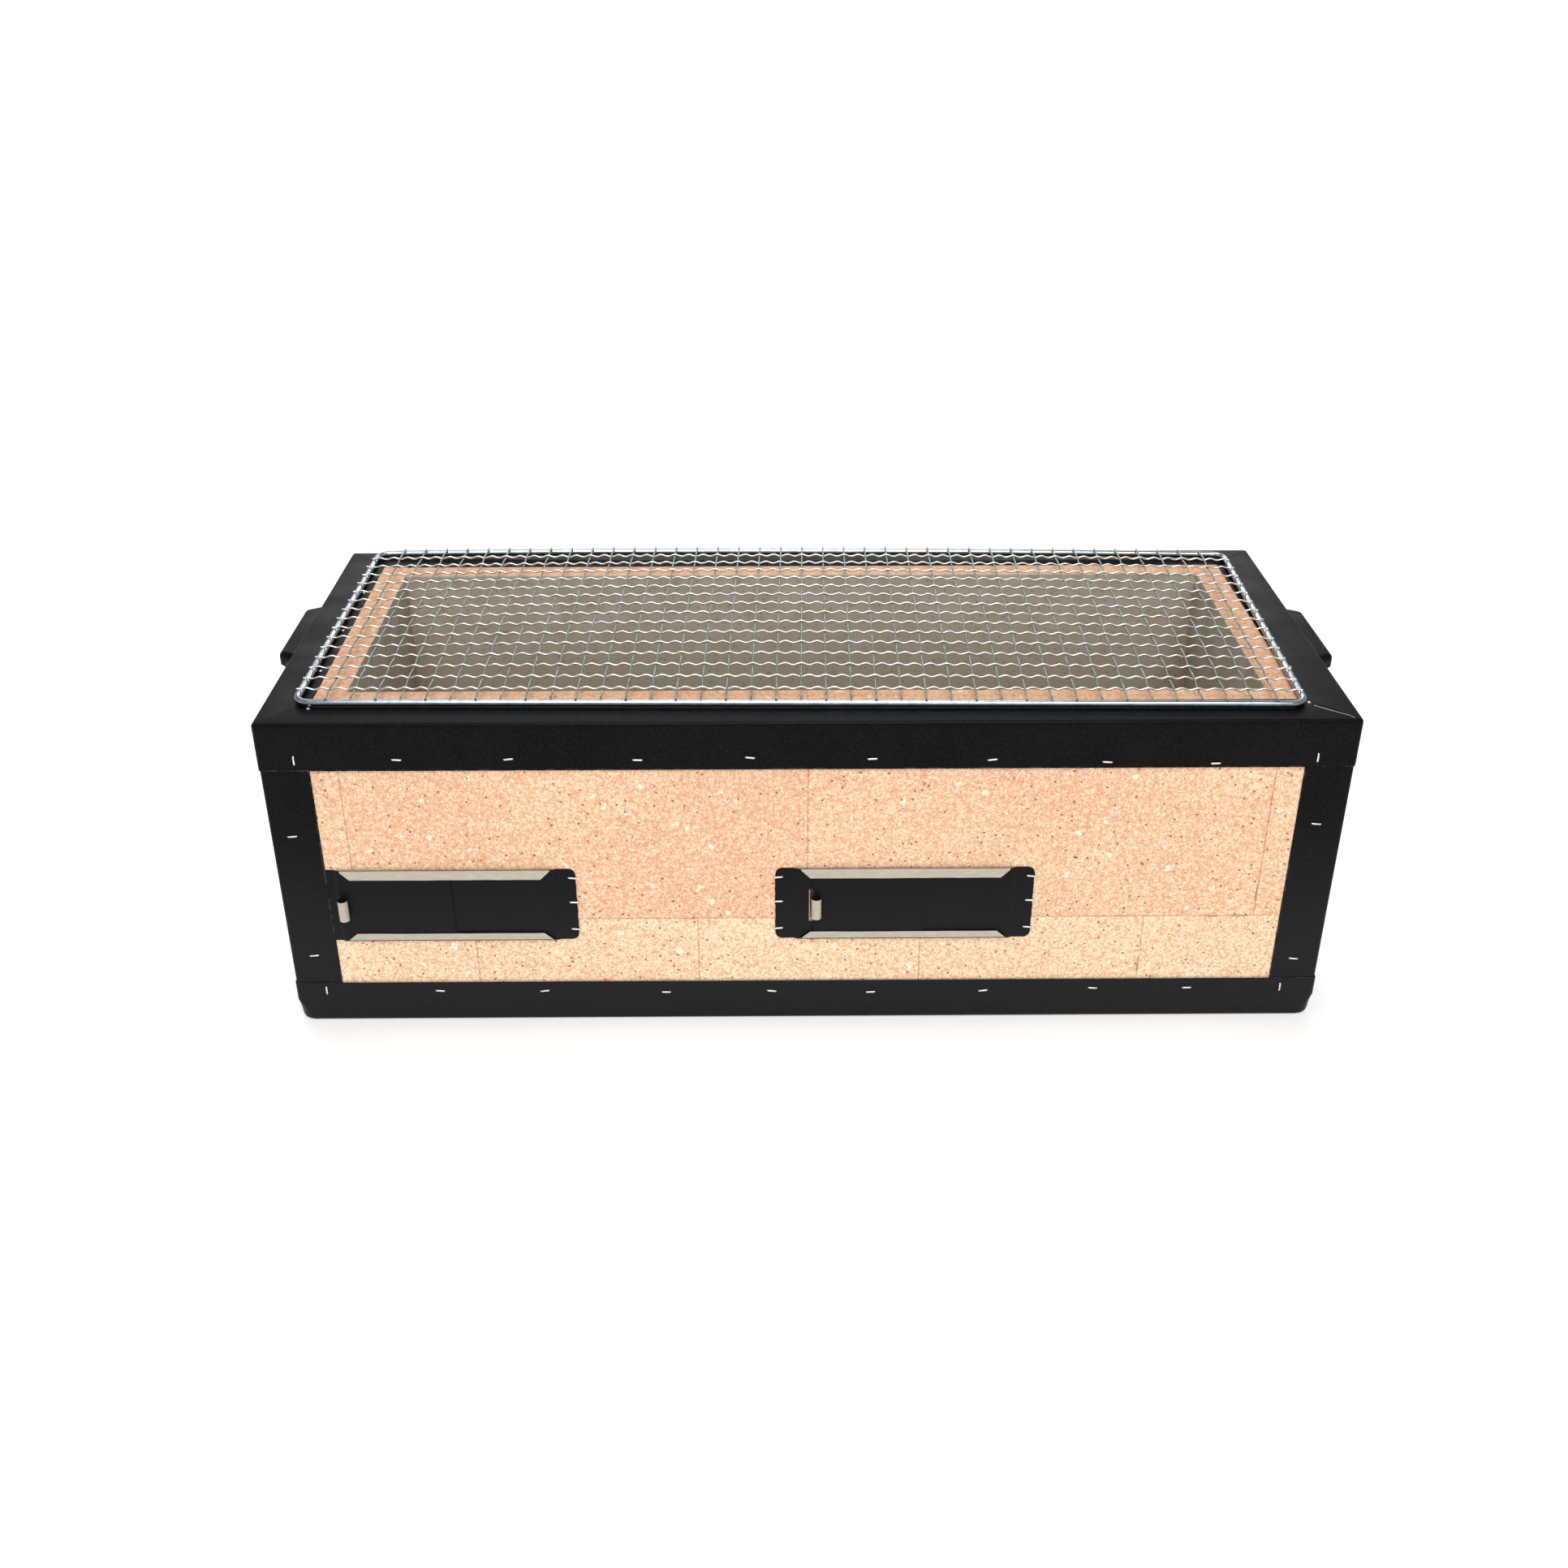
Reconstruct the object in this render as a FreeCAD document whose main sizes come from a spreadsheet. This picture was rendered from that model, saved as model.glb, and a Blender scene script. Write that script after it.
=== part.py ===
import FreeCAD, Part

# Table-top charcoal grill: a box of soft fire bricks held in black sheet-steel corner frames, with
# two sliding air vents in the front, a finger handle on each end and a wire net that lifts off.
# Millimetres. X is the long side, Y runs from the front (-) to the back (+), Z is up.
# The origin is the centre of the box's footprint on the table.

import math
import os
import re

import Sketcher

doc = FreeCAD.newDocument("charcoal_grill")

# ---------------------------------------------------------------- driving dimensions

SIZES = {
    # the box over its steel frames
    "box_length": 583.2,
    "box_depth": 247.4,
    "box_height": 191.0,
    "frame_sheet": 0.6,
    "flange_width": 25.8,
    "top_apron": 28.0,
    "base_apron": 26.0,
    "post_flange": 26.6,
    "bend_radius": 1.4,
    # bricks
    "wall_brick": 39.0,
    "end_brick": 40.6,
    "base_course": 67.4,
    "base_brick_pitch": 124.8,
    "base_brick_shift": 1.2,
    "air_hole_length": 54.0,
    "air_hole_height": 27.0,
    "air_hole_start": 1.5,
    # air vents, set out from the left end of each vent frame
    "vent_length": 143.0,
    "vent_height": 46.0,
    "vent_bottom": 55.0,
    "vent_sheet": 0.5,
    "vent_tab": 9.8,
    "vent_tab_radius": 4.0,
    "joggle_run": 3.1,
    "joggle_rise": 1.0,
    "vent_window_start": 18.6,
    "vent_window_length": 55.4,
    "vent_window_height": 21.3,
    "vent_window_bottom": 66.5,
    "upper_lip": 5.3,
    "lower_lip": 4.5,
    "lower_lip_rise": 1.0,
    "lip_start": 14.1,
    "lip_end": 129.2,
    "lip_mitre": 5.3,
    "slider_play": 0.2,
    "slider_length": 61.6,
    "slider_start": 12.9,
    "left_vent_at": -270.7,
    "right_vent_at": -17.8,
    "right_slider_open": 8.2,
    "pull_diameter": 5.6,
    "pull_height": 12.7,
    "pull_bottom": 71.5,
    "pull_set_back": 1.2,
    # end handles
    "handle_base": 76.0,
    "handle_grip": 64.0,
    "handle_reach": 11.0,
    "handle_top": 187.5,
    "handle_skirt": 8.0,
    "handle_side": 25.0,
    "handle_plate": 28.0,
    "left_handle_shift": 7.0,
    "right_handle_shift": -1.5,
    # cooking net
    "net_length": 540.8,
    "net_depth": 217.4,
    "net_corner": 8.0,
    "net_rod": 4.0,
    "net_wire": 1.1,
    "net_gap": 0.3,
    "net_turn": -0.7,
    "net_back_set": 2.7,
    "net_left_set": -2.2,
    "long_wire_pitch": 13.6,
    "long_wire_count": 15,
    "long_wire_shift": -1.7,
    "cross_wire_pitch": 13.38,
    "cross_wire_count": 39,
    "cross_wire_shift": 0.65,
    "wire_past_rod": 1.6,
    # charcoal grate inside the fire box
    "grate_length": 486.0,
    "grate_depth": 154.0,
    "grate_height": 29.0,
    "grate_corner": 8.0,
    "grate_rod": 4.0,
    "grate_wire": 3.0,
    "grate_pitch": 13.5,
    "grate_wire_count": 35,
    "grate_gap": 0.3,
    "grate_leg_span": 380.0,
    # fasteners
    "staple_crown": 5.7,
    "staple_wire": 1.2,
    "staple_proud": 0.6,
    "staple_leg": 10.0,
    "vent_staple_inset": 1.6,
    "handle_staple_rise": 3.4,
    "handle_staple_spread": 60.0,
    "pin_head": 2.2,
    "pin_length": 10.0,
}

sheet = doc.addObject("Spreadsheet::Sheet", "sizes")
for row, (alias, value) in enumerate(SIZES.items(), start=1):
    sheet.set(f"A{row}", alias)
    sheet.set(f"B{row}", str(value))
    sheet.setAlias(f"B{row}", alias)
doc.recompute()
SPARE_CELL = "D1"


def formula(text):
    """Point every size's name in an expression at its cell."""
    return re.sub(r"[a-z_]+", lambda word: f"sizes.{word[0]}" if word[0] in SIZES else word[0], text)


def value_of(text):
    """The number an expression of sizes stands for now, worked out in a spare cell."""
    sheet.set(SPARE_CELL, f"={text}")
    sheet.recompute()
    return float(sheet.get(SPARE_CELL))


def bind(thing, **expressions):
    """Bind properties to expressions of sizes; at_x, at_y and at_z are the placement's base."""
    for name, text in expressions.items():
        path = "Placement.Base." + name[-1] if name.startswith("at_") else name
        thing.setExpression(path, formula(text))
    return thing


# ---------------------------------------------------------------- modelling helpers

PARTS = []
H_AXIS, V_AXIS, ORIGIN = -1, -2, (-1, 1)


def part(label, thing):
    """Name a finished sub-part; it is exported under this name."""
    thing.Label = label
    PARTS.append(thing)
    return thing


def new_body(name):
    body = doc.addObject("PartDesign::Body", name)
    body.AllowCompound = True
    return body


def base_plane(body, role):
    return next(item for item in body.Origin.OriginFeatures if item.Role == role)


def new_sketch(body, name, role, offset="0"):
    """An empty sketch, offset along the normal of one of its own body's base planes."""
    sketch = body.newObject("Sketcher::SketchObject", name)
    sketch.AttachmentSupport = [(base_plane(body, role), "")]
    sketch.MapMode = "FlatFace"
    if offset != "0":
        sketch.setExpression("AttachmentOffset.Base.z", formula(offset))
    return sketch


def pin_point(sketch, geometry, end, x, y):
    """Hold one point of a sketch at two expressions, measured from the sketch's origin."""
    for axis, text, kind in ((V_AXIS, x, "DistanceX"), (H_AXIS, y, "DistanceY")):
        distance = value_of(text)
        if abs(distance) < 1e-9:
            sketch.addConstraint(Sketcher.Constraint("PointOnObject", geometry, end, axis))
            continue
        index = sketch.addConstraint(Sketcher.Constraint(kind, *ORIGIN, geometry, end, distance))
        sketch.setExpression(f"Constraints[{index}]", formula(text))


def outline(body, name, role, points, offset="0"):
    """A closed sketch through points given as pairs of expressions."""
    sketch = new_sketch(body, name, role, offset)
    corners = [FreeCAD.Vector(value_of(x), value_of(y), 0) for x, y in points]
    for start, end in zip(corners, corners[1:] + corners[:1]):
        sketch.addGeometry(Part.LineSegment(start, end))
    for index, (x, y) in enumerate(points):
        last = (index - 1) % len(points)
        sketch.addConstraint(Sketcher.Constraint("Coincident", last, 2, index, 1))
        pin_point(sketch, index, 1, x, y)
    return sketch


def rectangle(body, name, role, low, high, offset="0"):
    (x0, y0), (x1, y1) = low, high
    return outline(body, name, role, [(x0, y0), (x1, y0), (x1, y1), (x0, y1)], offset)


def centred_rectangle(body, name, role, length, width, offset="0"):
    high = (f"{length}/2", f"{width}/2")
    low = (f"-{length}/2", f"-{width}/2")
    return rectangle(body, name, role, low, high, offset)


def rounded_loop(body, name, role, length, width, radius, offset="0"):
    """A centred rectangle with round corners."""
    sketch = new_sketch(body, name, role, offset)
    half_x, half_y, r = value_of(length) / 2, value_of(width) / 2, value_of(radius)
    for quarter, (sx, sy) in enumerate(((1, 1), (-1, 1), (-1, -1), (1, -1))):
        centre = FreeCAD.Vector(sx * (half_x - r), sy * (half_y - r), 0)
        circle = Part.Circle(centre, FreeCAD.Vector(0, 0, 1), r)
        start = quarter * math.pi / 2
        sketch.addGeometry(Part.ArcOfCircle(circle, start, start + math.pi / 2))
    for quarter in range(4):
        start = sketch.getPoint(quarter, 2)
        end = sketch.getPoint((quarter + 1) % 4, 1)
        side = sketch.addGeometry(Part.LineSegment(start, end))
        sketch.addConstraint(Sketcher.Constraint("Tangent", quarter, 2, side, 1))
        sketch.addConstraint(Sketcher.Constraint("Tangent", side, 2, (quarter + 1) % 4, 1))
    for quarter in range(3):
        sketch.addConstraint(Sketcher.Constraint("Equal", quarter, quarter + 1))
    size = sketch.addConstraint(Sketcher.Constraint("Radius", 0, r))
    sketch.setExpression(f"Constraints[{size}]", formula(radius))
    for quarter, sx, sy in ((0, "", ""), (2, "-", "-")):
        pin_point(sketch, quarter, 3, f"{sx}{length}/2{'+' if sx else '-'}{radius}",
                  f"{sy}{width}/2{'+' if sy else '-'}{radius}")
    return sketch


def disc(body, name, role, x, y, diameter, offset="0", hollow=None):
    """A circle, or two circles about one centre."""
    sketch = new_sketch(body, name, role, offset)
    centre = FreeCAD.Vector(value_of(x), value_of(y), 0)
    for size in [diameter] + ([hollow] if hollow else []):
        circle = Part.Circle(centre, FreeCAD.Vector(0, 0, 1), value_of(size) / 2)
        index = sketch.addGeometry(circle)
        pin_point(sketch, index, 3, x, y)
        width = sketch.addConstraint(Sketcher.Constraint("Diameter", index, value_of(size)))
        sketch.setExpression(f"Constraints[{width}]", formula(size))
    return sketch


def extrude(body, kind, sketch, length, **options):
    """A Pad along the sketch's normal, or a Pocket against it; the volume has to follow."""
    before = body.Shape.Volume if body.Shape and not body.Shape.isNull() else 0.0
    feature = body.newObject(f"PartDesign::{kind}", f"{sketch.Name}_{kind.lower()}")
    feature.Profile = sketch
    feature.setExpression("Length", formula(length))
    for name, value in options.items():
        setattr(feature, name, value)
    doc.recompute()
    grown = body.Shape.Volume - before
    if (grown <= 0) if kind == "Pad" else (grown >= 0):
        raise RuntimeError(f"{feature.Name} changed the volume by {grown:.3f}")
    return feature


def pad(body, sketch, length, **options):
    return extrude(body, "Pad", sketch, length, **options)


def pocket(body, sketch, length, **options):
    return extrude(body, "Pocket", sketch, length, **options)


def round_edges(body, feature, radius, chosen):
    """Fillet the edges that `chosen` picks by their middle point and direction."""
    names = []
    for index, edge in enumerate(feature.Shape.Edges, start=1):
        ends = [vertex.Point for vertex in edge.Vertexes]
        if len(ends) == 2 and chosen((ends[0] + ends[1]) * 0.5, (ends[1] - ends[0]).normalize()):
            names.append(f"Edge{index}")
    fillet = body.newObject("PartDesign::Fillet", f"{feature.Name}_round")
    fillet.Base = (feature, names)
    fillet.setExpression("Radius", formula(radius))
    doc.recompute()
    return fillet


def row_of(body, feature, role, pitch, count):
    """Repeat one feature along a base axis of its body."""
    pattern = body.newObject("PartDesign::LinearPattern", f"{feature.Name}_row")
    pattern.Originals = [feature]
    axis = next(item for item in body.Origin.OriginFeatures if item.Role == role)
    pattern.Direction = (axis, [""])
    pattern.setExpression("Length", formula(f"{pitch}*({count}-1)"))
    pattern.setExpression("Occurrences", formula(count))
    body.Tip = pattern
    doc.recompute()
    return pattern


def box(name, length, width, height, x, y, z):
    """A Part box with its low corner at three expressions."""
    solid = doc.addObject("Part::Box", name)
    return bind(solid, Length=length, Width=width, Height=height, at_x=x, at_y=y, at_z=z)


# ---------------------------------------------------------------- bricks

BRICK_X = "box_length/2-2*frame_sheet"
BRICK_Y = "box_depth/2-2*frame_sheet"
WALL_Z = "frame_sheet+base_course"
WALL_HEIGHT = "box_height-2*frame_sheet-base_course"


def base_bricks():
    """Five bricks laid from front to back make the floor; the two at the ends are cut down."""
    joints = [f"base_brick_shift{step:+.1f}*base_brick_pitch" for step in (-1.5, -0.5, 0.5, 1.5)]
    edges = ["-box_length/2+2*frame_sheet"] + joints + [BRICK_X]
    for number, (start, end) in enumerate(zip(edges, edges[1:]), start=1):
        brick = box(f"base_brick_{number}", f"({end})-({start})", f"2*({BRICK_Y})", "base_course",
                    start, f"-({BRICK_Y})", "frame_sheet")
        part(f"base_brick_{number}", brick)


def wall_bricks():
    """Two end bricks run the full depth, with two bricks between them along each side."""
    depth = f"2*({BRICK_Y})"
    for name, x in (("end_brick_left", f"-({BRICK_X})"), ("end_brick_right", f"{BRICK_X}-end_brick")):
        part(name, box(name, "end_brick", depth, WALL_HEIGHT, x, f"-({BRICK_Y})", WALL_Z))
    inner = f"{BRICK_X}-end_brick"
    for side, x in (("left", f"-({inner})"), ("right", "0")):
        back = f"back_brick_{side}"
        part(back, box(back, inner, "wall_brick", WALL_HEIGHT, x, f"{BRICK_Y}-wall_brick", WALL_Z))
        blank = box(f"front_blank_{side}", inner, "wall_brick", WALL_HEIGHT, x, f"-({BRICK_Y})", WALL_Z)
        hole = box(f"air_hole_{side}", "air_hole_length", "wall_brick+2", "air_hole_height",
                   f"{x}+air_hole_start", f"-({BRICK_Y})-1", WALL_Z)
        cut = doc.addObject("Part::Cut", f"front_brick_{side}")
        cut.Base = blank
        cut.Tool = hole
        part(f"front_brick_{side}", cut)


# ---------------------------------------------------------------- steel frames


def edge_frame(label, apron, apron_bottom, flange_bottom):
    """An L-section strip bent round the box: an apron on the outside and a flange over its edge."""
    body = new_body(label)
    outside = centred_rectangle(body, f"{label}_outside", "XY_Plane", "box_length", "box_depth", apron_bottom)
    pad(body, outside, apron)
    length, depth = "(box_length-2*frame_sheet)", "(box_depth-2*frame_sheet)"
    upward = flange_bottom == "0"
    start = "frame_sheet" if upward else "box_height-frame_sheet"
    inside = centred_rectangle(body, f"{label}_inside", "XY_Plane", length, depth, start)
    pocket(body, inside, apron, Reversed=upward)
    window = centred_rectangle(body, f"{label}_window", "XY_Plane", "(box_length-2*flange_width)",
                               "(box_depth-2*flange_width)", flange_bottom)
    last = pocket(body, window, "frame_sheet", Reversed=True)
    outer_x, outer_y = value_of("box_length/2"), value_of("box_depth/2")
    level = 0.0 if upward else value_of("box_height")

    def outer_bend(middle, along):
        on_x = abs(abs(middle.x) - outer_x) < 0.01
        on_y = abs(abs(middle.y) - outer_y) < 0.01
        return (on_x and on_y) if abs(along.z) > 0.9 else (on_x or on_y) and abs(middle.z - level) < 0.01

    round_edges(body, last, "bend_radius", outer_bend)
    part(label, body)


def corner_posts():
    """Four angle strips stand inside the two edge frames, one at each corner."""
    for end, sx in (("left", "-"), ("right", "")):
        for side, sy in (("front", "-"), ("back", "")):
            label = f"post_{side}_{end}"
            body = new_body(label)
            far_x, far_y = "box_length/2-frame_sheet", "box_depth/2-frame_sheet"

            def corner(in_x, in_y):
                return f"{sx}1*({far_x}-{in_x})", f"{sy}1*({far_y}-{in_y})"

            rim = [("0", "0"), ("post_flange", "0"), ("post_flange", "frame_sheet"),
                   ("frame_sheet", "frame_sheet"), ("frame_sheet", "post_flange"), ("0", "post_flange")]
            section = outline(body, f"{label}_section", "XY_Plane", [corner(*point) for point in rim],
                              "frame_sheet")
            pad(body, section, "box_height-2*frame_sheet")
            part(label, body)


def handle(label, side, shift):
    """A hood of bent sheet on the end of the box: top, skirt and flared sides, open underneath."""
    body = new_body(label)
    wall, tip = "box_length/2", "(box_length/2+handle_reach)"

    def plan(inset, base, reach):
        """The flared outline, each side pulled in by a number of sheet thicknesses."""
        near, far = f"handle_base/2-{inset}*frame_sheet", f"handle_grip/2-{inset}*frame_sheet"
        return [(base, f"-({near})"), (reach, f"-({far})"), (reach, far), (base, near)]

    body_top = outline(body, f"{label}_plan", "XY_Plane", plan(0, wall, tip), "handle_top-handle_side")
    pad(body, body_top, "handle_side")
    hollow = outline(body, f"{label}_hollow", "XY_Plane",
                     plan(1.2, f"({wall}+frame_sheet)", f"({tip}-frame_sheet)"),
                     "handle_top-frame_sheet")
    pocket(body, hollow, "handle_side")
    plate = rectangle(body, f"{label}_plate", "XY_Plane", (wall, "-handle_base/2"),
                      (f"{wall}+frame_sheet", "handle_base/2"), "handle_top-handle_plate")
    pad(body, plate, "handle_plate")
    low, high = "handle_top-handle_side", "handle_top-handle_skirt"
    taper = outline(body, f"{label}_taper", "XZ_Plane",
                    [(f"{wall}+frame_sheet", f"{low}-1"), (f"{wall}+frame_sheet", low),
                     (tip, high), (f"{tip}+1", high), (f"{tip}+1", f"{low}-1")])
    pocket(body, taper, "handle_base*2", Midplane=True)
    if side < 0:
        body.Placement = FreeCAD.Placement(FreeCAD.Vector(0, 0, 0), FreeCAD.Rotation(180, 0, 0))
    body.setExpression("Placement.Base.y", formula(shift))
    part(label, body)


# ---------------------------------------------------------------- air vents

FACE_Y = "(box_depth/2-2*frame_sheet)"
PLATE_OUT = f"({FACE_Y}+joggle_rise)"
SLIDER_OUT = f"({PLATE_OUT}+vent_sheet+slider_play)"
LIP_OUT = f"({SLIDER_OUT}+vent_sheet+slider_play)"
VENT_TOP = "vent_bottom+vent_height"
LIP_BOTTOM = "vent_bottom+lower_lip_rise"


def vent_frame(label, at, tucked):
    """A plate with tabs on the brick, a raised middle with a window, and two lips folded forward.

    The left tab of the first vent is tucked behind the corner post, so it ends at the post.
    """
    body = new_body(label)
    tab = "post_flange+frame_sheet+0.2-box_length/2-left_vent_at" if tucked else "0"
    rise_end, fall_start = "(vent_tab+joggle_run)", "(vent_length-vent_tab-joggle_run)"
    fold = [(tab, "0"), ("vent_tab", "0"), (rise_end, "joggle_rise"), (fall_start, "joggle_rise"),
            ("(vent_length-vent_tab)", "0"), ("vent_length", "0")]
    back = [(f"{at}+{x}", f"-({FACE_Y}+{y})") for x, y in fold]
    front = [(f"{at}+{x}", f"-({FACE_Y}+{y}+vent_sheet)") for x, y in reversed(fold)]
    section = outline(body, f"{label}_section", "XY_Plane", back + front, "vent_bottom")
    plate = pad(body, section, "vent_height")
    ends = [value_of(f"{at}+vent_length")] + ([] if tucked else [value_of(at)])
    round_edges(body, plate, "vent_tab_radius", lambda middle, along: (
        abs(along.y) > 0.9 and min(abs(middle.x - x) for x in ends) < 0.01))
    low = (f"{at}+vent_window_start", "vent_window_bottom")
    high = (f"{low[0]}+vent_window_length", f"{low[1]}+vent_window_height")
    window = rectangle(body, f"{label}_window", "XZ_Plane", low, high, f"{PLATE_OUT}+2*vent_sheet")
    pocket(body, window, "4*vent_sheet")
    long_edge = (f"{at}+lip_start", f"{at}+lip_end")
    short_edge = (f"{at}+lip_start+lip_mitre", f"{at}+lip_end-lip_mitre")
    levels = (("upper", VENT_TOP, f"{VENT_TOP}-upper_lip", f"{VENT_TOP}-vent_sheet"),
              ("lower", LIP_BOTTOM, f"{LIP_BOTTOM}+lower_lip", f"{LIP_BOTTOM}+vent_sheet"))
    for name, outer, inner, web in levels:
        lip = outline(body, f"{label}_{name}_lip", "XZ_Plane",
                      [(long_edge[0], outer), (long_edge[1], outer), (short_edge[1], inner),
                       (short_edge[0], inner)], LIP_OUT)
        pad(body, lip, "vent_sheet")
        fold_web = rectangle(body, f"{label}_{name}_fold", "XZ_Plane", (long_edge[0], outer),
                             (long_edge[1], web), PLATE_OUT)
        pad(body, fold_web, f"{LIP_OUT}+vent_sheet-({PLATE_OUT})")
    part(label, body)


def vent_slider(label, at, shift):
    """A flat plate behind the lips; a tongue at its left end is rolled forward into a finger pull."""
    body = new_body(label)
    start = f"{at}+slider_start+{shift}"
    low, high = f"{LIP_BOTTOM}+vent_sheet+slider_play", f"{VENT_TOP}-vent_sheet-slider_play"
    plate = rectangle(body, f"{label}_plate", "XZ_Plane", (start, low), (f"{start}+slider_length", high),
                      SLIDER_OUT)
    pad(body, plate, "vent_sheet")
    centre = (f"{start}+pull_diameter/2-pull_set_back", f"-({SLIDER_OUT}+pull_diameter/2)")
    roll = disc(body, f"{label}_roll", "XY_Plane", *centre, "pull_diameter", "pull_bottom",
                hollow="(pull_diameter-2*vent_sheet)")
    pad(body, roll, "pull_height")
    part(label, body)


# ---------------------------------------------------------------- cooking net


def wire_row(label, role, start, length, level, diameter, pitch, count, axis, shift="0"):
    """Straight wires side by side, all of one length."""
    body = new_body(label)
    first = disc(body, f"{label}_section", role, f"{shift}-{pitch}*({count}-1)/2", level, diameter, start)
    row_of(body, pad(body, first, length), axis, pitch, count)
    return body


def bent_ring(label, length, depth, corner, rod, level):
    """A rod bent into a rectangle with round corners."""
    body = new_body(label)
    path = rounded_loop(body, f"{label}_path", "XY_Plane", length, depth, corner, level)
    section = disc(body, f"{label}_section", "XZ_Plane", f"{length}/2", level, rod, f"{corner}-{depth}/2")
    pipe = body.newObject("PartDesign::AdditivePipe", f"{label}_pipe")
    pipe.Profile = section
    pipe.Spine = (path, [])
    doc.recompute()
    return body


def cooking_net():
    """A rim rod lying on the top flange with two layers of wire on it, set towards the back."""
    rod_level = "(box_height+net_gap+net_rod/2)"
    cross_level = "(box_height+net_gap+net_rod+net_wire/2)"
    long_level = "(box_height+net_gap+net_rod+net_wire*3/2)"
    rim = bent_ring("net_rim", "net_length", "net_depth", "net_corner", "net_rod", rod_level)
    reach_x, reach_y = "(net_length/2+wire_past_rod)", "(net_depth/2+wire_past_rod)"
    long_wires = wire_row("net_long_wires", "YZ_Plane", f"-{reach_x}", f"2*{reach_x}", long_level,
                          "net_wire", "long_wire_pitch", "long_wire_count", "Y_Axis", "long_wire_shift")
    cross_wires = wire_row("net_cross_wires", "XZ_Plane", f"-{reach_y}", f"2*{reach_y}", cross_level,
                           "net_wire", "cross_wire_pitch", "cross_wire_count", "X_Axis", "cross_wire_shift")
    for body in (rim, long_wires, cross_wires):
        turn = value_of("net_turn")
        body.Placement = FreeCAD.Placement(FreeCAD.Vector(0, 0, 0), FreeCAD.Rotation(turn, 0, 0))
        bind(body, at_x="net_left_set", at_y="net_back_set")
        part(body.Name, body)


# ---------------------------------------------------------------- charcoal grate


def charcoal_grate():
    """A welded tray of wires on six legs that holds the charcoal above the air holes."""
    floor = f"({WALL_Z}+grate_gap)"
    level = f"({floor}+grate_height-grate_wire-grate_rod/2)"
    rim = bent_ring("grate_rim", "grate_length", "grate_depth", "grate_corner", "grate_rod", level)
    for column, x in enumerate(("-grate_leg_span/2", "0", "grate_leg_span/2")):
        for row, y in enumerate(("-grate_depth/2", "grate_depth/2")):
            leg = disc(rim, f"grate_leg_{column}_{row}", "XY_Plane", x, y, "grate_rod", floor)
            pad(rim, leg, "grate_height-grate_wire-grate_rod/2")
    part("grate_rim", rim)
    reach = "(grate_depth/2+grate_rod/2)"
    bar_level = f"({level}+grate_rod/2+grate_wire/2)"
    bars = wire_row("grate_bars", "XZ_Plane", f"-{reach}", f"2*{reach}", bar_level,
                    "grate_wire", "grate_pitch", "grate_wire_count", "X_Axis")
    part("grate_bars", bars)


# ---------------------------------------------------------------- staples and pins

FRONT, BACK, LEFT, RIGHT = 0.0, 180.0, -90.0, 90.0


def staple(crown_along_z):
    """One U staple on a wall that faces -Y: its crown stands proud of y = 0, its legs go in."""
    crown, wire = value_of("staple_crown"), value_of("staple_wire")
    proud, leg = value_of("staple_proud"), value_of("staple_leg")
    bar = Part.makeBox(crown, proud, wire, FreeCAD.Vector(-crown / 2, -proud, -wire / 2))
    legs = [Part.makeBox(proud, leg, wire, FreeCAD.Vector(x, 0, -wire / 2))
            for x in (-crown / 2, crown / 2 - proud)]
    shape = bar.fuse(legs).removeSplitter()
    if crown_along_z:
        shape.rotate(FreeCAD.Vector(0, 0, 0), FreeCAD.Vector(0, 1, 0), 90)
    return shape


def placed(shape, facing, along, level, out, tilt=0.0):
    """Put a fastener on a wall: `along` is the distance sideways and `out` how far the wall stands."""
    copy = shape.copy()
    copy.rotate(FreeCAD.Vector(0, 0, 0), FreeCAD.Vector(0, 1, 0), tilt)
    copy.translate(FreeCAD.Vector(along, -out, level))
    copy.rotate(FreeCAD.Vector(0, 0, 0), FreeCAD.Vector(0, 0, 1), facing)
    return copy


def fastener_group(label, shapes):
    group = doc.addObject("Part::Feature", label)
    group.Shape = Part.makeCompound(shapes)
    group.Placement = FreeCAD.Placement()
    part(label, group)


# Hand-driven, so the spacing, the level and the tilt wander a little. A row gives distances along the wall
# from its middle and levels; uprights and post staples are set in from the left (-1) or right (1) end.
TOP_ROW = ((-217.5, 169.9), (-158.6, 170.0), (-90.4, 169.2), (-30.9, 170.3),
           (33.9, 169.3), (97.5, 168.5), (158.7, 166.8), (216.3, 165.7))
BASE_ROW = ((-209.3, 20.3), (-149.7, 19.9), (-80.3, 18.6), (-20.0, 19.0),
            (36.6, 17.9), (101.0, 18.5), (163.9, 19.9), (217.8, 19.8))
END_TOP_ROW = ((-62.0, 169.9), (58.0, 169.2))
END_BASE_ROW = ((-62.0, 20.1), (-3.0, 19.0), (58.0, 19.6))
ROW_TILT = (4, -5, 2, 6, -3, -7, 3, -2)
TOP_UPRIGHTS = ((-1, 20.0, 169.5), (1, 21.5, 168.7))
BASE_UPRIGHTS = ((-1, 17.7, 20.7), (1, 20.4, 19.7))
POST_STAPLES = ((-1, 12.4, 122.8), (-1, 13.6, 44.7), (1, 15.8, 127.8), (1, 15.1, 39.2))
POST_TILT = 4


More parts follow.
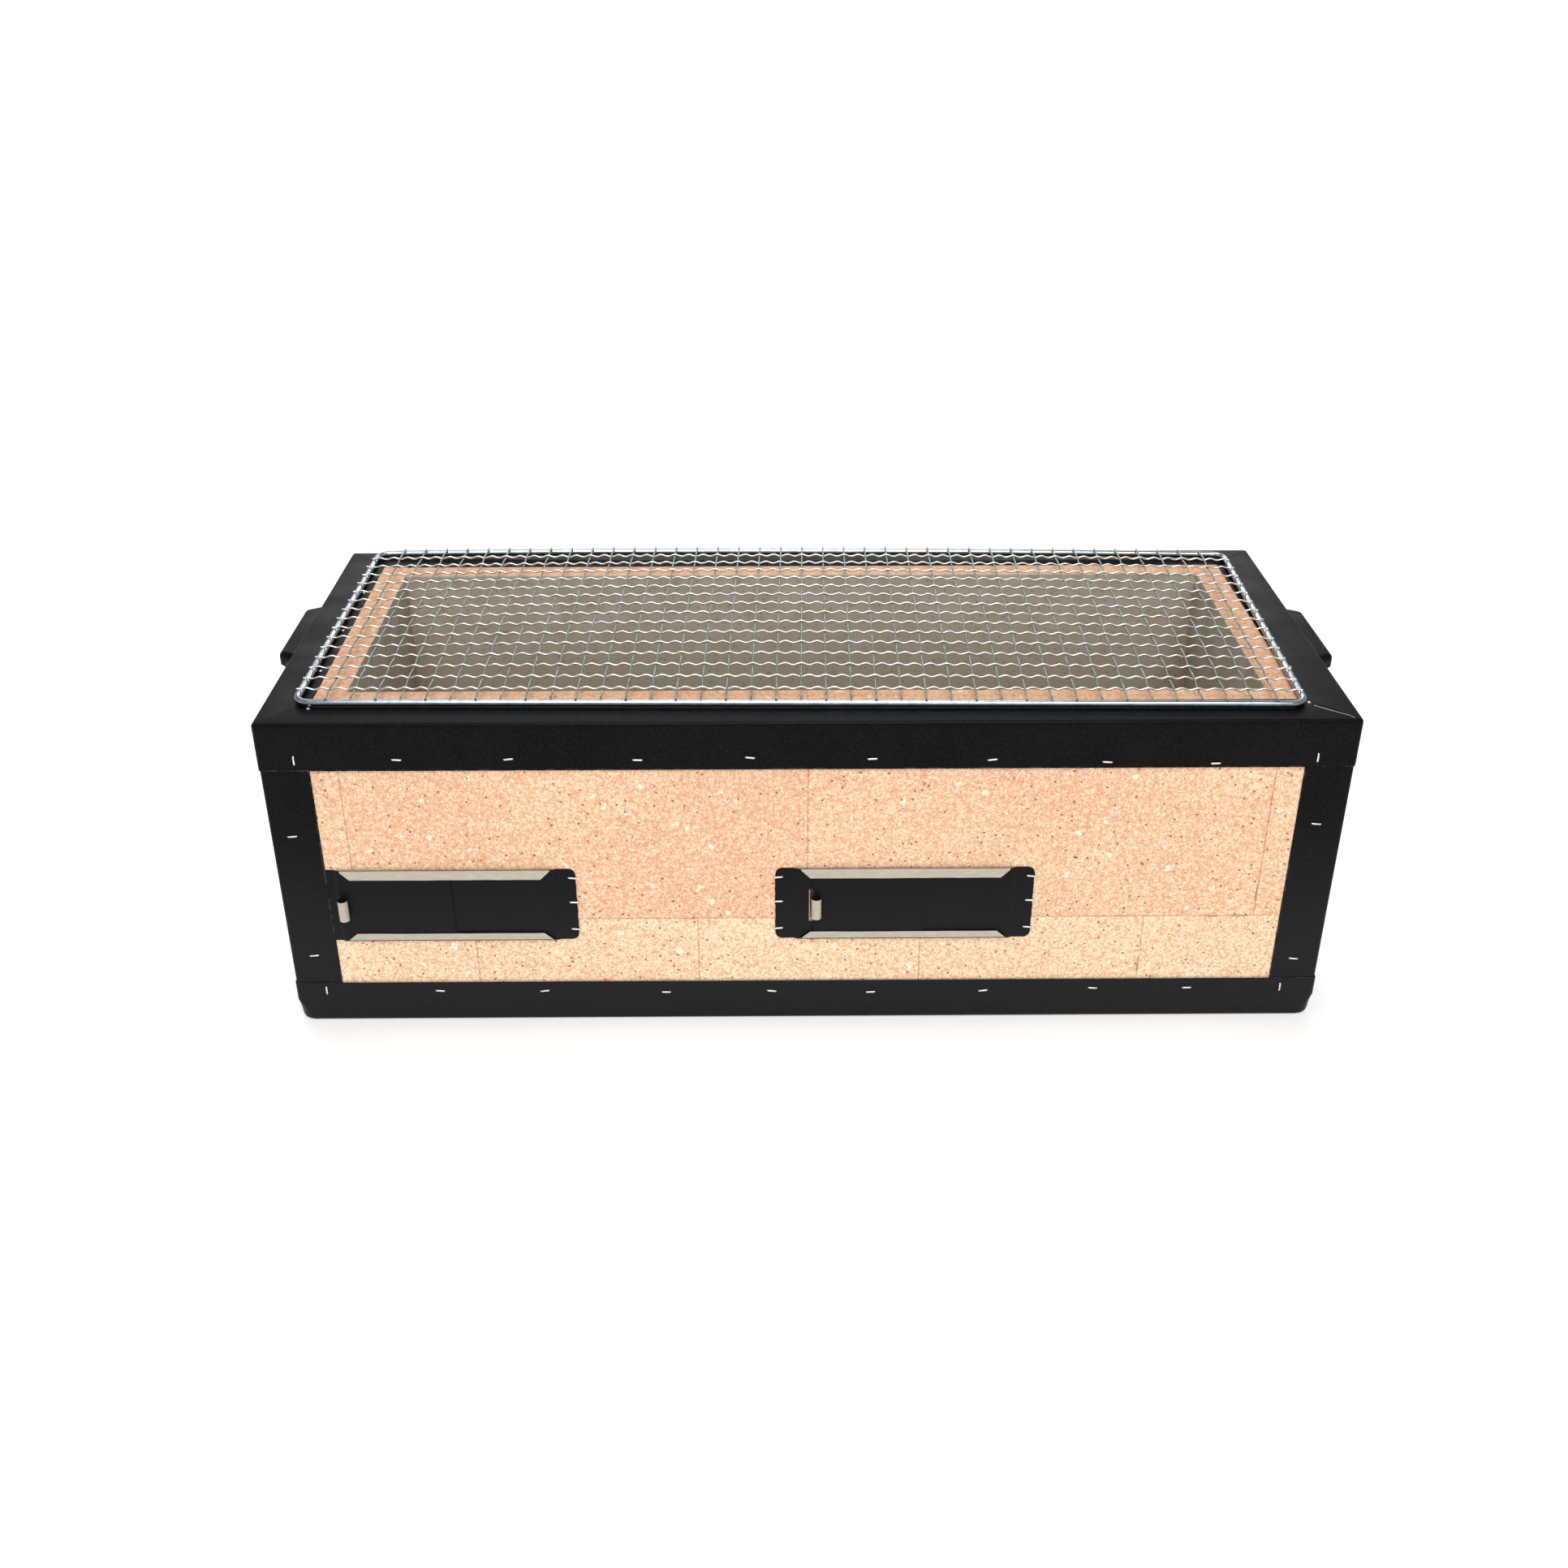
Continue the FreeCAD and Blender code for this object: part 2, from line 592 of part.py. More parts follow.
def wall_staples(label, facing, half_length, face, top_row, base_row):
    """The staples of one wall: along both aprons, one upright at each apron end, two on each post."""
    shapes = []
    for row in (top_row, base_row):
        for (along, level), tilt in zip(row, ROW_TILT):
            shapes.append(placed(staple(False), facing, along, level, face, tilt))
    for end, inset, level in TOP_UPRIGHTS + BASE_UPRIGHTS:
        shapes.append(placed(staple(True), facing, end * (half_length - inset), level, face))
    post_face = face - value_of("frame_sheet")
    for end, inset, level in POST_STAPLES:
        along = end * (half_length - inset)
        shapes.append(placed(staple(False), facing, along, level, post_face, end * POST_TILT))
    fastener_group(label, shapes)


def staples():
    half_length, half_depth = value_of("box_length/2"), value_of("box_depth/2")
    wall_staples("staples_front", FRONT, half_length, half_depth, TOP_ROW, BASE_ROW)
    wall_staples("staples_back", BACK, half_length, half_depth, TOP_ROW, BASE_ROW)
    wall_staples("staples_left", LEFT, half_depth, half_length, END_TOP_ROW, END_BASE_ROW)
    wall_staples("staples_right", RIGHT, half_depth, half_length, END_TOP_ROW, END_BASE_ROW)


VENT_STAPLES = ((95.3, 6), (79.5, 2), (61.7, 5))


def vent_staples():
    """Three staples hold each tab that lies on the brick, each across the tab's outer edge."""
    out = value_of(f"{FACE_Y}+vent_sheet")
    left, right, length = (value_of(name) for name in ("left_vent_at", "right_vent_at", "vent_length"))
    inset = value_of("vent_staple_inset")
    shapes = []
    for edge, inward in ((left + length, -1), (right, 1), (right + length, -1)):
        for level, tilt in VENT_STAPLES:
            shapes.append(placed(staple(False), FRONT, edge + inset * inward, level, out, -tilt * inward))
    fastener_group("vent_staples", shapes)


def handle_staples():
    """Two staples go through the plate of each handle, under its hood."""
    out = value_of("box_length/2+frame_sheet")
    level = value_of("handle_top-handle_plate+handle_staple_rise")
    aside = value_of("handle_staple_spread/2")
    shapes = []
    for facing, shift in ((LEFT, -value_of("left_handle_shift")), (RIGHT, value_of("right_handle_shift"))):
        for end in (-1, 1):
            shapes.append(placed(staple(False), facing, shift + end * aside, level, out))
    fastener_group("handle_staples", shapes)


PIN_SPOTS = ((-265.5, -105), (268, -102.5), (-270, -58), (-270, -2.5), (-270, 55),
             (270, -58), (270, -2.5), (270, 55))


def flange_pins():
    """Short round pins through the top flange into the bricks."""
    head, length = value_of("pin_head"), value_of("pin_length")
    top = value_of("box_height")
    shapes = []
    for x, y in PIN_SPOTS:
        foot = FreeCAD.Vector(x, y, top - length)
        shapes.append(Part.makeCylinder(head / 2, length + 0.1, foot))
    fastener_group("flange_pins", shapes)


# ---------------------------------------------------------------- the grill

base_bricks()
wall_bricks()
edge_frame("top_frame", "top_apron", "box_height-top_apron", "box_height-frame_sheet")
edge_frame("base_frame", "base_apron", "0", "0")
corner_posts()
handle("handle_left", -1, "left_handle_shift")
handle("handle_right", 1, "right_handle_shift")
vent_frame("vent_frame_left", "left_vent_at", tucked=True)
vent_frame("vent_frame_right", "right_vent_at", tucked=False)
vent_slider("vent_slider_left", "left_vent_at", "0")
vent_slider("vent_slider_right", "right_vent_at", "right_slider_open")
cooking_net()
charcoal_grate()
staples()
vent_staples()
handle_staples()
flange_pins()

doc.recompute()
for item in doc.Objects:
    if {"Invalid", "Error"} & set(item.State):
        raise RuntimeError(f"{item.Label} failed: {item.State}")

os.makedirs("parts", exist_ok=True)
for item in PARTS:
    if item.Shape.isNull() or not item.Shape.isValid():
        raise RuntimeError(f"{item.Label} has no valid shape")
    item.Shape.exportStep(f"parts/{item.Label}.step")
    print(f"{item.Label}: {len(item.Shape.Solids)} solids, {item.Shape.Volume:.1f} mm3")
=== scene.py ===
import math
from bisect import bisect
from random import Random

import bmesh
import bpy
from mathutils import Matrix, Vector, noise

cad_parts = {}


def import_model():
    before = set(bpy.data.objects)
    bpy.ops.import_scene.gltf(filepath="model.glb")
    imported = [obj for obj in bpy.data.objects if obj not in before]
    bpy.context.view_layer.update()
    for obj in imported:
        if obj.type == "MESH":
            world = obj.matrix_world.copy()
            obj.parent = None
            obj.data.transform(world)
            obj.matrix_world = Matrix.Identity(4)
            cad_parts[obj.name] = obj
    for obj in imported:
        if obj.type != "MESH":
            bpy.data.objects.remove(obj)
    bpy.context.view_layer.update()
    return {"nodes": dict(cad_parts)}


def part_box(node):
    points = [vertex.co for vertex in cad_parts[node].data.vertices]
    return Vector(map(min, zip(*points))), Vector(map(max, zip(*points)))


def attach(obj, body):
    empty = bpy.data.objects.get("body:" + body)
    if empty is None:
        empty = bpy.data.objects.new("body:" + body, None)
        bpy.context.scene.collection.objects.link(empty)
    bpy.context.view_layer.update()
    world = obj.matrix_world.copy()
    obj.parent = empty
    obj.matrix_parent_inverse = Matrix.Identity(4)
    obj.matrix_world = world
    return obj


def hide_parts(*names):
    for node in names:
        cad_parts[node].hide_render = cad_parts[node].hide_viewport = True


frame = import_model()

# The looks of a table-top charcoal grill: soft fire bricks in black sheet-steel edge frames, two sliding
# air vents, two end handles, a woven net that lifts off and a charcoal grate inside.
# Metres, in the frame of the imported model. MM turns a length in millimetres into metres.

MM = 0.001
X_AXIS, Y_AXIS, Z_AXIS = Vector((1, 0, 0)), Vector((0, 1, 0)), Vector((0, 0, 1))
BOX_BODY, NET_BODY, GRATE_BODY = "grill_box", "cooking_net", "charcoal_grate"
chance = Random(11)

scene = bpy.context.scene


# ---------------- camera, light and floor

def add_camera():
    """The view from the front, above the middle of the box, looking down at about 29 degrees."""
    data = bpy.data.cameras.new("camera")
    data.sensor_width = 36.0
    data.lens = 38.13
    camera = bpy.data.objects.new("camera", data)
    camera.location = (-0.01956, -0.89776, 0.58368)
    camera.rotation_euler = (math.radians(60.98), math.radians(0.02), math.radians(-0.50))
    scene.collection.objects.link(camera)
    scene.camera = camera


def add_light(name, kind, location, target, energy, **settings):
    data = bpy.data.lights.new(name, kind)
    data.energy = energy
    for key, value in settings.items():
        setattr(data, key, value)
    light = bpy.data.objects.new(name, data)
    light.location = location
    light.rotation_euler = (Vector(target) - Vector(location)).to_track_quat("-Z", "Y").to_euler()
    scene.collection.objects.link(light)


def add_studio():
    """A pale floor under a soft key from the front, a broad light overhead and a pale surround."""
    add_light("key", "SUN", (0.10, -2.0, 2.7), (0, 0, 0.1), 1.96, angle=math.radians(34))
    add_light("overhead", "AREA", (-0.15, 0.35, 1.9), (0, 0, 0.15), 12.0,
              shape="RECTANGLE", size=1.1, size_y=0.8)
    add_light("back", "AREA", (0.0, 2.6, 1.3), (0, 0, 0.1), 12.0,
              shape="RECTANGLE", size=2.6, size_y=0.7)
    world = bpy.data.worlds.new("surround")
    world.use_nodes = True
    tree = world.node_tree
    seen = add_node(tree, "ShaderNodeLightPath").outputs["Is Camera Ray"]
    background = tree.nodes["Background"]
    background.inputs["Color"].default_value = (1.0, 1.0, 1.0, 1.0)
    tree.links.new(ramp(tree, seen, 0.0, 1.0, 0.42, 1.0), background.inputs["Strength"])
    scene.world = world
    bm = bmesh.new()
    bmesh.ops.create_grid(bm, x_segments=8, y_segments=8, size=16.0)
    mesh = bpy.data.meshes.new("floor")
    bm.to_mesh(mesh)
    bm.free()
    mesh.materials.append(floor_material())
    floor = bpy.data.objects.new("floor", mesh)
    scene.collection.objects.link(floor)
    scene.view_settings.view_transform = "Standard"


# ---------------- material helpers

def srgb(red, green, blue):
    """A colour given as 0 to 255 screen values, as the linear colour that a shader takes."""
    values = [value / 255 for value in (red, green, blue)]
    linear = [v / 12.92 if v <= 0.04045 else ((v + 0.055) / 1.055) ** 2.4 for v in values]
    return (*linear, 1.0)


def new_material(name, **constants):
    """A material and its shader; a constant's name is the socket's, with _ for each space."""
    material = bpy.data.materials.new(name)
    material.use_nodes = True
    shader = material.node_tree.nodes["Principled BSDF"]
    for key, value in constants.items():
        shader.inputs[key.replace("_", " ")].default_value = value
    return material, material.node_tree, shader


def add_node(tree, kind, inputs=None, **attributes):
    """A node with its attributes set, and its inputs set to values or linked to sockets."""
    item = tree.nodes.new(kind)
    for key, value in attributes.items():
        setattr(item, key, value)
    for key, value in (inputs or {}).items():
        if isinstance(value, bpy.types.NodeSocket):
            tree.links.new(value, item.inputs[key])
        else:
            item.inputs[key].default_value = value
    return item


def position(tree):
    return add_node(tree, "ShaderNodeTexCoord").outputs["Object"]


def attribute(tree, name):
    return add_node(tree, "ShaderNodeAttribute", attribute_name=name).outputs["Fac"]


def maths(tree, operation, first, second=0.0):
    return add_node(tree, "ShaderNodeMath", {0: first, 1: second}, operation=operation).outputs[0]


def ramp(tree, value, start, end, low=0.0, high=1.0):
    """Turn a value smoothly from low at start to high at end."""
    inputs = {"Value": value, "From Min": start, "From Max": end, "To Min": low, "To Max": high}
    return add_node(tree, "ShaderNodeMapRange", inputs, interpolation_type="SMOOTHSTEP").outputs["Result"]


def tint(tree, factor, first, second):
    """Two colours mixed by a factor."""
    node = add_node(tree, "ShaderNodeMix", {0: factor, 6: first, 7: second}, data_type="RGBA")
    return node.outputs[2]


def dab(tree, colour, mask, strength, shade):
    """A shade laid over a colour where a mask is, at a strength from 0 to 1."""
    return tint(tree, maths(tree, "MULTIPLY", mask, strength), colour, shade)


def component(tree, vector, axis):
    return add_node(tree, "ShaderNodeSeparateXYZ", {0: vector}).outputs[axis]


def shaken(tree, place, scale, detail, reach):
    """Places moved about by noise, so that what is drawn there gets a ragged outline."""
    shift = add_node(tree, "ShaderNodeTexNoise", {"Vector": place, "Scale": scale, "Detail": detail})
    shift = add_node(tree, "ShaderNodeVectorMath", {0: shift.outputs["Color"], "Scale": reach},
                     operation="SCALE")
    moved = add_node(tree, "ShaderNodeVectorMath", {0: place, 1: shift.outputs[0]}, operation="ADD")
    return moved.outputs[0]


def clouds(tree, place, scale, detail=3.0, rough=0.5, seed=None):
    """Soft noise from 0 to 1; a seed makes it differ between pieces."""
    inputs = {"Vector": place, "Scale": scale, "Detail": detail, "Roughness": rough}
    if seed is None:
        return add_node(tree, "ShaderNodeTexNoise", inputs).outputs["Fac"]
    inputs["W"] = seed
    return add_node(tree, "ShaderNodeTexNoise", inputs, noise_dimensions="4D").outputs["Fac"]


def spots(tree, place, scale, share, size, feather):
    """A mask of separate spots: `share` of the cells hold one, of at most `size` cells across."""
    cells = add_node(tree, "ShaderNodeTexVoronoi", {"Vector": place, "Scale": scale})
    reach = ramp(tree, cells.outputs["Color"], 1 - share, 1.15 - share, 0.0, size)
    return ramp(tree, maths(tree, "SUBTRACT", reach, cells.outputs["Distance"]), 0.0, feather)


def bump(tree, shader, height, strength, distance):
    node = add_node(tree, "ShaderNodeBump", {"Height": height, "Strength": strength, "Distance": distance})
    tree.links.new(node.outputs["Normal"], shader.inputs["Normal"])


# ---------------- materials

def floor_material():
    material, tree, shader = new_material("floor", Roughness=0.9, Specular_IOR_Level=0.1,
                                          Emission_Color=(1, 1, 1, 1), Emission_Strength=0.12)
    shade = clouds(tree, position(tree), 0.6)
    colour = tint(tree, shade, (0.975, 0.975, 0.975, 1), (0.99, 0.99, 0.99, 1))
    tree.links.new(colour, shader.inputs["Base Color"])
    return material


def brick_material(name, pink, yellow):
    """Soft fire brick: mottled peach with brown pores, cream flecks, and joints with broken edges.

    Faces turned up are darkened with painted shade, and the inner faces are grey, darker towards the floor.
    """
    material, tree, shader = new_material(name, Specular_IOR_Level=0.15)
    place = position(tree)
    seed = attribute(tree, "seed")
    edge = attribute(tree, "edge")
    warped = shaken(tree, place, 700.0, 2.0, 1.1 * MM)
    torn = shaken(tree, place, 330.0, 3.0, 7.5 * MM)

    cloud = clouds(tree, place, 11.0, 3.0, 0.55, seed)
    warm = ramp(tree, maths(tree, "ADD", cloud, attribute(tree, "tone")), 0.35, 0.75)
    colour = tint(tree, warm, pink, yellow)
    blush = clouds(tree, place, 75.0, 2.0, 0.5, seed)
    colour = tint(tree, ramp(tree, blush, 0.52, 0.70, 0.0, 0.35), colour, srgb(244, 196, 166))
    colour = tint(tree, ramp(tree, blush, 0.48, 0.30, 0.0, 0.22), colour, srgb(248, 222, 180))
    grain = clouds(tree, place, 1300.0, 2.0, 0.7)
    colour = tint(tree, ramp(tree, grain, 0.56, 0.30, 0.0, 0.75), colour, srgb(206, 150, 110))
    colour = tint(tree, ramp(tree, grain, 0.50, 0.70, 0.0, 0.62), colour, srgb(255, 242, 216))

    mottle = clouds(tree, place, 560.0, 3.0, 0.75)
    colour = tint(tree, ramp(tree, mottle, 0.52, 0.36, 0.0, 0.66), colour, srgb(214, 148, 106))
    colour = tint(tree, ramp(tree, mottle, 0.52, 0.66, 0.0, 0.55), colour, srgb(255, 234, 206))
    flecks = spots(tree, torn, 125.0, 0.36, 0.28, 0.07)
    pores = spots(tree, warped, 400.0, 0.50, 0.36, 0.20)
    fine_pores = spots(tree, warped, 760.0, 0.70, 0.44, 0.26)
    pits = spots(tree, warped, 190.0, 0.60, 0.15, 0.04)
    colour = dab(tree, colour, fine_pores, 0.36, srgb(190, 128, 88))
    colour = dab(tree, colour, pores, 0.42, srgb(170, 108, 72))
    colour = dab(tree, colour, flecks, 0.80, srgb(255, 240, 214))
    colour = dab(tree, colour, pits, 0.80, srgb(132, 68, 44))
    rust = spots(tree, warped, 70.0, 0.50, 0.06, 0.015)
    colour = dab(tree, colour, rust, 0.75, srgb(186, 84, 62))

    broken = ramp(tree, clouds(tree, place, 260.0, 3.0, 0.6), 0.38, 0.60)
    joint = maths(tree, "MULTIPLY", ramp(tree, edge, 0.45, 0.95, 0.0, 0.34), broken)
    colour = tint(tree, joint, colour, srgb(160, 108, 76))

    # Painted shade: faces turned up are tinted darker, for the shade under the net and the frame's flange.
    upward = component(tree, add_node(tree, "ShaderNodeTexCoord").outputs["Normal"], "Z")
    colour = tint(tree, ramp(tree, upward, 0.6, 0.9, 0.0, 0.42), colour, srgb(176, 128, 98))

    # The inner faces are grey, darker towards the floor.
    height_z = component(tree, place, "Z")
    grey = tint(tree, ramp(tree, height_z, 0.07, 0.19), srgb(150, 142, 126), srgb(200, 191, 174))
    grey = tint(tree, ramp(tree, blush, 0.35, 0.65, 0.0, 0.5), grey, srgb(176, 160, 138))
    grey = dab(tree, grey, pores, 0.5, srgb(104, 92, 76))
    colour = tint(tree, attribute(tree, "cavity"), colour, grey)
    tree.links.new(colour, shader.inputs["Base Color"])
    tree.links.new(ramp(tree, blush, 0.3, 0.7, 0.84, 0.96), shader.inputs["Roughness"])
    sunk = maths(tree, "ADD", maths(tree, "MULTIPLY", pores, 0.6), pits)
    relief = maths(tree, "SUBTRACT", maths(tree, "MULTIPLY", grain, 0.45), sunk)
    bump(tree, shader, relief, 0.45, 0.35 * MM)
    return material


def paint_material(name, base, worn):
    """Satin black paint on sheet steel, a little uneven and rubbed thin along cut edges."""
    material, tree, shader = new_material(name, Specular_IOR_Level=0.08)
    place = position(tree)
    haze = clouds(tree, place, 28.0, 4.0, 0.6)
    peel = clouds(tree, place, 1500.0, 2.0, 0.5)
    colour = tint(tree, ramp(tree, haze, 0.35, 0.7), base, worn)
    colour = dab(tree, colour, ramp(tree, peel, 0.5, 0.72), 0.35, (0.024, 0.024, 0.028, 1))
    # Painted light: the paint is made lighter towards the bottom, near the pale floor.
    height_z = component(tree, place, "Z")
    colour = tint(tree, ramp(tree, height_z, 0.15, 0.03, 0.0, 0.5), colour, (0.022, 0.022, 0.025, 1))
    patches = ramp(tree, clouds(tree, place, 190.0), 0.46, 0.62)
    rubbed = maths(tree, "MULTIPLY", attribute(tree, "edge"), patches)
    colour = dab(tree, colour, rubbed, 0.55, (0.10, 0.10, 0.10, 1))
    tree.links.new(colour, shader.inputs["Base Color"])
    tree.links.new(ramp(tree, haze, 0.3, 0.7, 0.34, 0.46), shader.inputs["Roughness"])
    wave = maths(tree, "ADD", maths(tree, "MULTIPLY", peel, 0.04), maths(tree, "MULTIPLY", haze, 0.25))
    bump(tree, shader, wave, 0.25, 1.0 * MM)
    return material


def grey_sheet_material():
    """The unpainted back of the vent sheet, which the folds turn outwards: dull warm grey."""
    material, tree, shader = new_material("grey_sheet", Specular_IOR_Level=0.35)
    place = position(tree)
    stretched = add_node(tree, "ShaderNodeVectorMath", {0: place, 1: (0.25, 1.0, 1.0)},
                         operation="MULTIPLY")
    streaks = clouds(tree, stretched.outputs[0], 700.0, 3.0, 0.6)
    blotch = clouds(tree, place, 45.0)
    colour = tint(tree, ramp(tree, streaks, 0.35, 0.7), srgb(176, 170, 155), srgb(188, 182, 166))
    colour = tint(tree, ramp(tree, blotch, 0.45, 0.75, 0.0, 0.35), colour, srgb(182, 166, 148))
    tree.links.new(colour, shader.inputs["Base Color"])
    tree.links.new(ramp(tree, streaks, 0.3, 0.7, 0.42, 0.58), shader.inputs["Roughness"])
    bump(tree, shader, streaks, 0.10, 0.1 * MM)
    return material


def metal_material(name, bright, dull, smooth, rough, scale=160.0):
    """Bare or plated wire: the colour and the gloss drift along it."""
    material, tree, shader = new_material(name, Metallic=1.0)
    place = position(tree)
    drift = clouds(tree, place, scale, 4.0, 0.6)
    scuffs = clouds(tree, place, 1400.0, 2.0)
    tree.links.new(tint(tree, ramp(tree, drift, 0.35, 0.7), bright, dull), shader.inputs["Base Color"])
    tree.links.new(ramp(tree, drift, 0.3, 0.7, smooth, rough), shader.inputs["Roughness"])
    bump(tree, shader, scuffs, 0.10, 0.1 * MM)
    return material


WALL_BRICK = brick_material("fire_brick_wall", srgb(235, 191, 158), srgb(242, 211, 174))
BASE_BRICK = brick_material("fire_brick_base", srgb(242, 216, 182), srgb(246, 230, 194))
PAINT = paint_material("black_paint", (0.0008, 0.0009, 0.0014, 1), (0.0028, 0.0028, 0.0034, 1))
GREY_SHEET = grey_sheet_material()
CHROME = metal_material("net_chrome", (0.42, 0.47, 0.52, 1), (0.28, 0.33, 0.37, 1), 0.12, 0.24)
# One kind of wire in two copies: the long wires get a painted lit colour and the cross wires a painted shaded
# colour.
WIRE_PAINTED_LIT = metal_material("net_wire_painted_lit", (0.74, 0.75, 0.73, 1), (0.58, 0.60, 0.58, 1), 0.32, 0.44)
WIRE_PAINTED_SHADE = metal_material("net_wire_painted_shade", (0.40, 0.44, 0.42, 1), (0.27, 0.31, 0.29, 1), 0.34, 0.50)
ZINC = metal_material("staple_zinc", (0.80, 0.80, 0.79, 1), (0.62, 0.63, 0.64, 1), 0.28, 0.42, 700.0)
GRATE_STEEL = metal_material("grate_steel", (0.36, 0.34, 0.32, 1), (0.20, 0.18, 0.17, 1), 0.42, 0.60)


# ---------------- mesh helpers

def new_mesh():
    bm = bmesh.new()
    for name in ("edge", "cavity", "seed", "tone"):
        bm.verts.layers.float.new(name)
    return bm


def mark(bm, verts, **values):
    """Write values of the mesh's point attributes."""
    for name, value in values.items():
        layer = bm.verts.layers.float[name]
        for vert in verts:
            vert[layer] = value


def finish_piece(name, bm, body, materials, nodes, sharp=35.0):
    """Turn a mesh into a shown piece that rides on a body and stands for CAD nodes."""
    bmesh.ops.remove_doubles(bm, verts=bm.verts, dist=0.001 * MM)
    bmesh.ops.recalc_face_normals(bm, faces=bm.faces)
    mesh = bpy.data.meshes.new(name)
    bm.to_mesh(mesh)
    bm.free()
    mesh.shade_smooth()
    mesh.set_sharp_from_angle(angle=math.radians(sharp))
    for material in materials:
        mesh.materials.append(material)
    piece = bpy.data.objects.new(name, mesh)
    scene.collection.objects.link(piece)
    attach(piece, body)
    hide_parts(*nodes)
    return piece


def loft(bm, rings, tones=None, closed=False, skip=()):
    """Skin a row of closed rings of points, with a cap on each end unless the row itself is closed.

    tones gives each ring edge its material, and skip leaves ring edges out.
    """
    rows = [[bm.verts.new(point) for point in ring] for ring in rings]
    following = rows[1:] + rows[:1] if closed else rows[1:]
    size = len(rows[0])
    for row, after in zip(rows, following):
        for k in range(size):
            if k in skip:
                continue
            face = bm.faces.new((row[k], row[(k + 1) % size], after[(k + 1) % size], after[k]))
            face.material_index = tones[k] if tones else 0
    if not closed:
        bm.faces.new(rows[0])
        bm.faces.new(reversed(rows[-1]))
    return rows


def sweep(bm, points, section, up, closed=False, tone=0):
    """Carry a section of (sideways, upward) offsets along a line of points."""
    rings = []
    last = len(points) - 1
    for index, point in enumerate(points):
        before = points[index - 1] if index or closed else point
        after = points[(index + 1) % len(points)] if index < last or closed else point
        ahead = (after - before).normalized()
        side = ahead.cross(up).normalized()
        top = side.cross(ahead)
        rings.append([point + side * a + top * b for a, b in section])
    return loft(bm, rings, [tone] * len(section), closed)


def circle(radius, sides):
    return [(radius * math.cos(math.tau * k / sides), radius * math.sin(math.tau * k / sides))
            for k in range(sides)]


def arc(centre, radius, start, end, steps):
    """Points of an arc in a plane, angles in degrees."""
    angles = [math.radians(start + (end - start) * k / steps) for k in range(steps + 1)]
    return [(centre[0] + radius * math.cos(a), centre[1] + radius * math.sin(a)) for a in angles]


def rounded_bar(width, height, radius, steps=2):
    """The outline of a bar with round corners, centred."""
    x, y = width / 2 - radius, height / 2 - radius
    points = []
    for start, (cx, cy) in zip((0, 90, 180, 270), ((x, y), (-x, y), (-x, -y), (x, -y))):
        points += arc((cx, cy), radius, start, start + 90, steps)
    return points


def sheet_grid(bm, columns, rows, present, place, edge=0.6):
    """A sheet over a grid with cells left out; place gives the point of a column, row and side.

    The side is 0 or 1, and edge says how worn the sheet's cut edges are.
    """
    made = {}

    def there(i, j):
        return 0 <= i < len(columns) - 1 and 0 <= j < len(rows) - 1 and present(i, j)

    def vertex(i, j, side):
        if (i, j, side) not in made:
            made[i, j, side] = bm.verts.new(place(columns[i], rows[j], side))
        return made[i, j, side]

    for i in range(len(columns) - 1):
        for j in range(len(rows) - 1):
            if not there(i, j):
                continue
            for side in (0, 1):
                square = ((i, j), (i + 1, j), (i + 1, j + 1), (i, j + 1))
                bm.faces.new([vertex(a, b, side) for a, b in square])
            walls = (((i, j), (i + 1, j), (i, j - 1)), ((i + 1, j), (i + 1, j + 1), (i + 1, j)),
                     ((i + 1, j + 1), (i, j + 1), (i, j + 1)), ((i, j + 1), (i, j), (i - 1, j)))
            for first, second, beside in walls:
                if not there(*beside):
                    rim = [vertex(*first, 0), vertex(*second, 0), vertex(*second, 1), vertex(*first, 1)]
                    bm.faces.new(rim)
                    mark(bm, rim, edge=edge)


def spread(low, high, pitch):
    """Even steps from low to high, at most pitch apart, both ends included."""
    count = max(1, math.ceil((high - low) / pitch - 1e-6))
    return [low + (high - low) * k / count for k in range(count + 1)]


# ---------------- bricks

EDGE_LINES = (0.45 * MM, 1.3 * MM)
BRICK_PITCH = 4.2 * MM
EDGE_REACH = 1.1 * MM                        # how far a broken edge shows
WEAR, WEAR_SWING, LEAST_WEAR = 0.30 * MM, 0.22 * MM, 0.12 * MM
CHIP, CHIP_START = 4.5 * MM, 0.42            # a chip's depth per unit of noise, and the noise it starts at
HOLE_IN, HOLE_END, HOLE_HEIGHT = 1.5 * MM, 55.5 * MM, 27.0 * MM
FOOT_HEIGHT, FOOT_CHAMFER = 14.0 * MM, 5.0 * MM      # room for the base frame's round corners


def brick_lines(breaks):
    """Grid lines on one axis: each break, lines close beside it and even steps between."""
    lines = []
    for low, high in zip(breaks, breaks[1:]):
        if high - low < 4 * EDGE_LINES[-1]:
            lines += [low, (low + high) / 2]
            continue
        near = [low + step for step in EDGE_LINES]
        far = [high - step for step in reversed(EDGE_LINES)]
        lines += [low] + near[:-1] + spread(near[-1], far[0], BRICK_PITCH) + far[1:]
    return lines + [breaks[-1]]


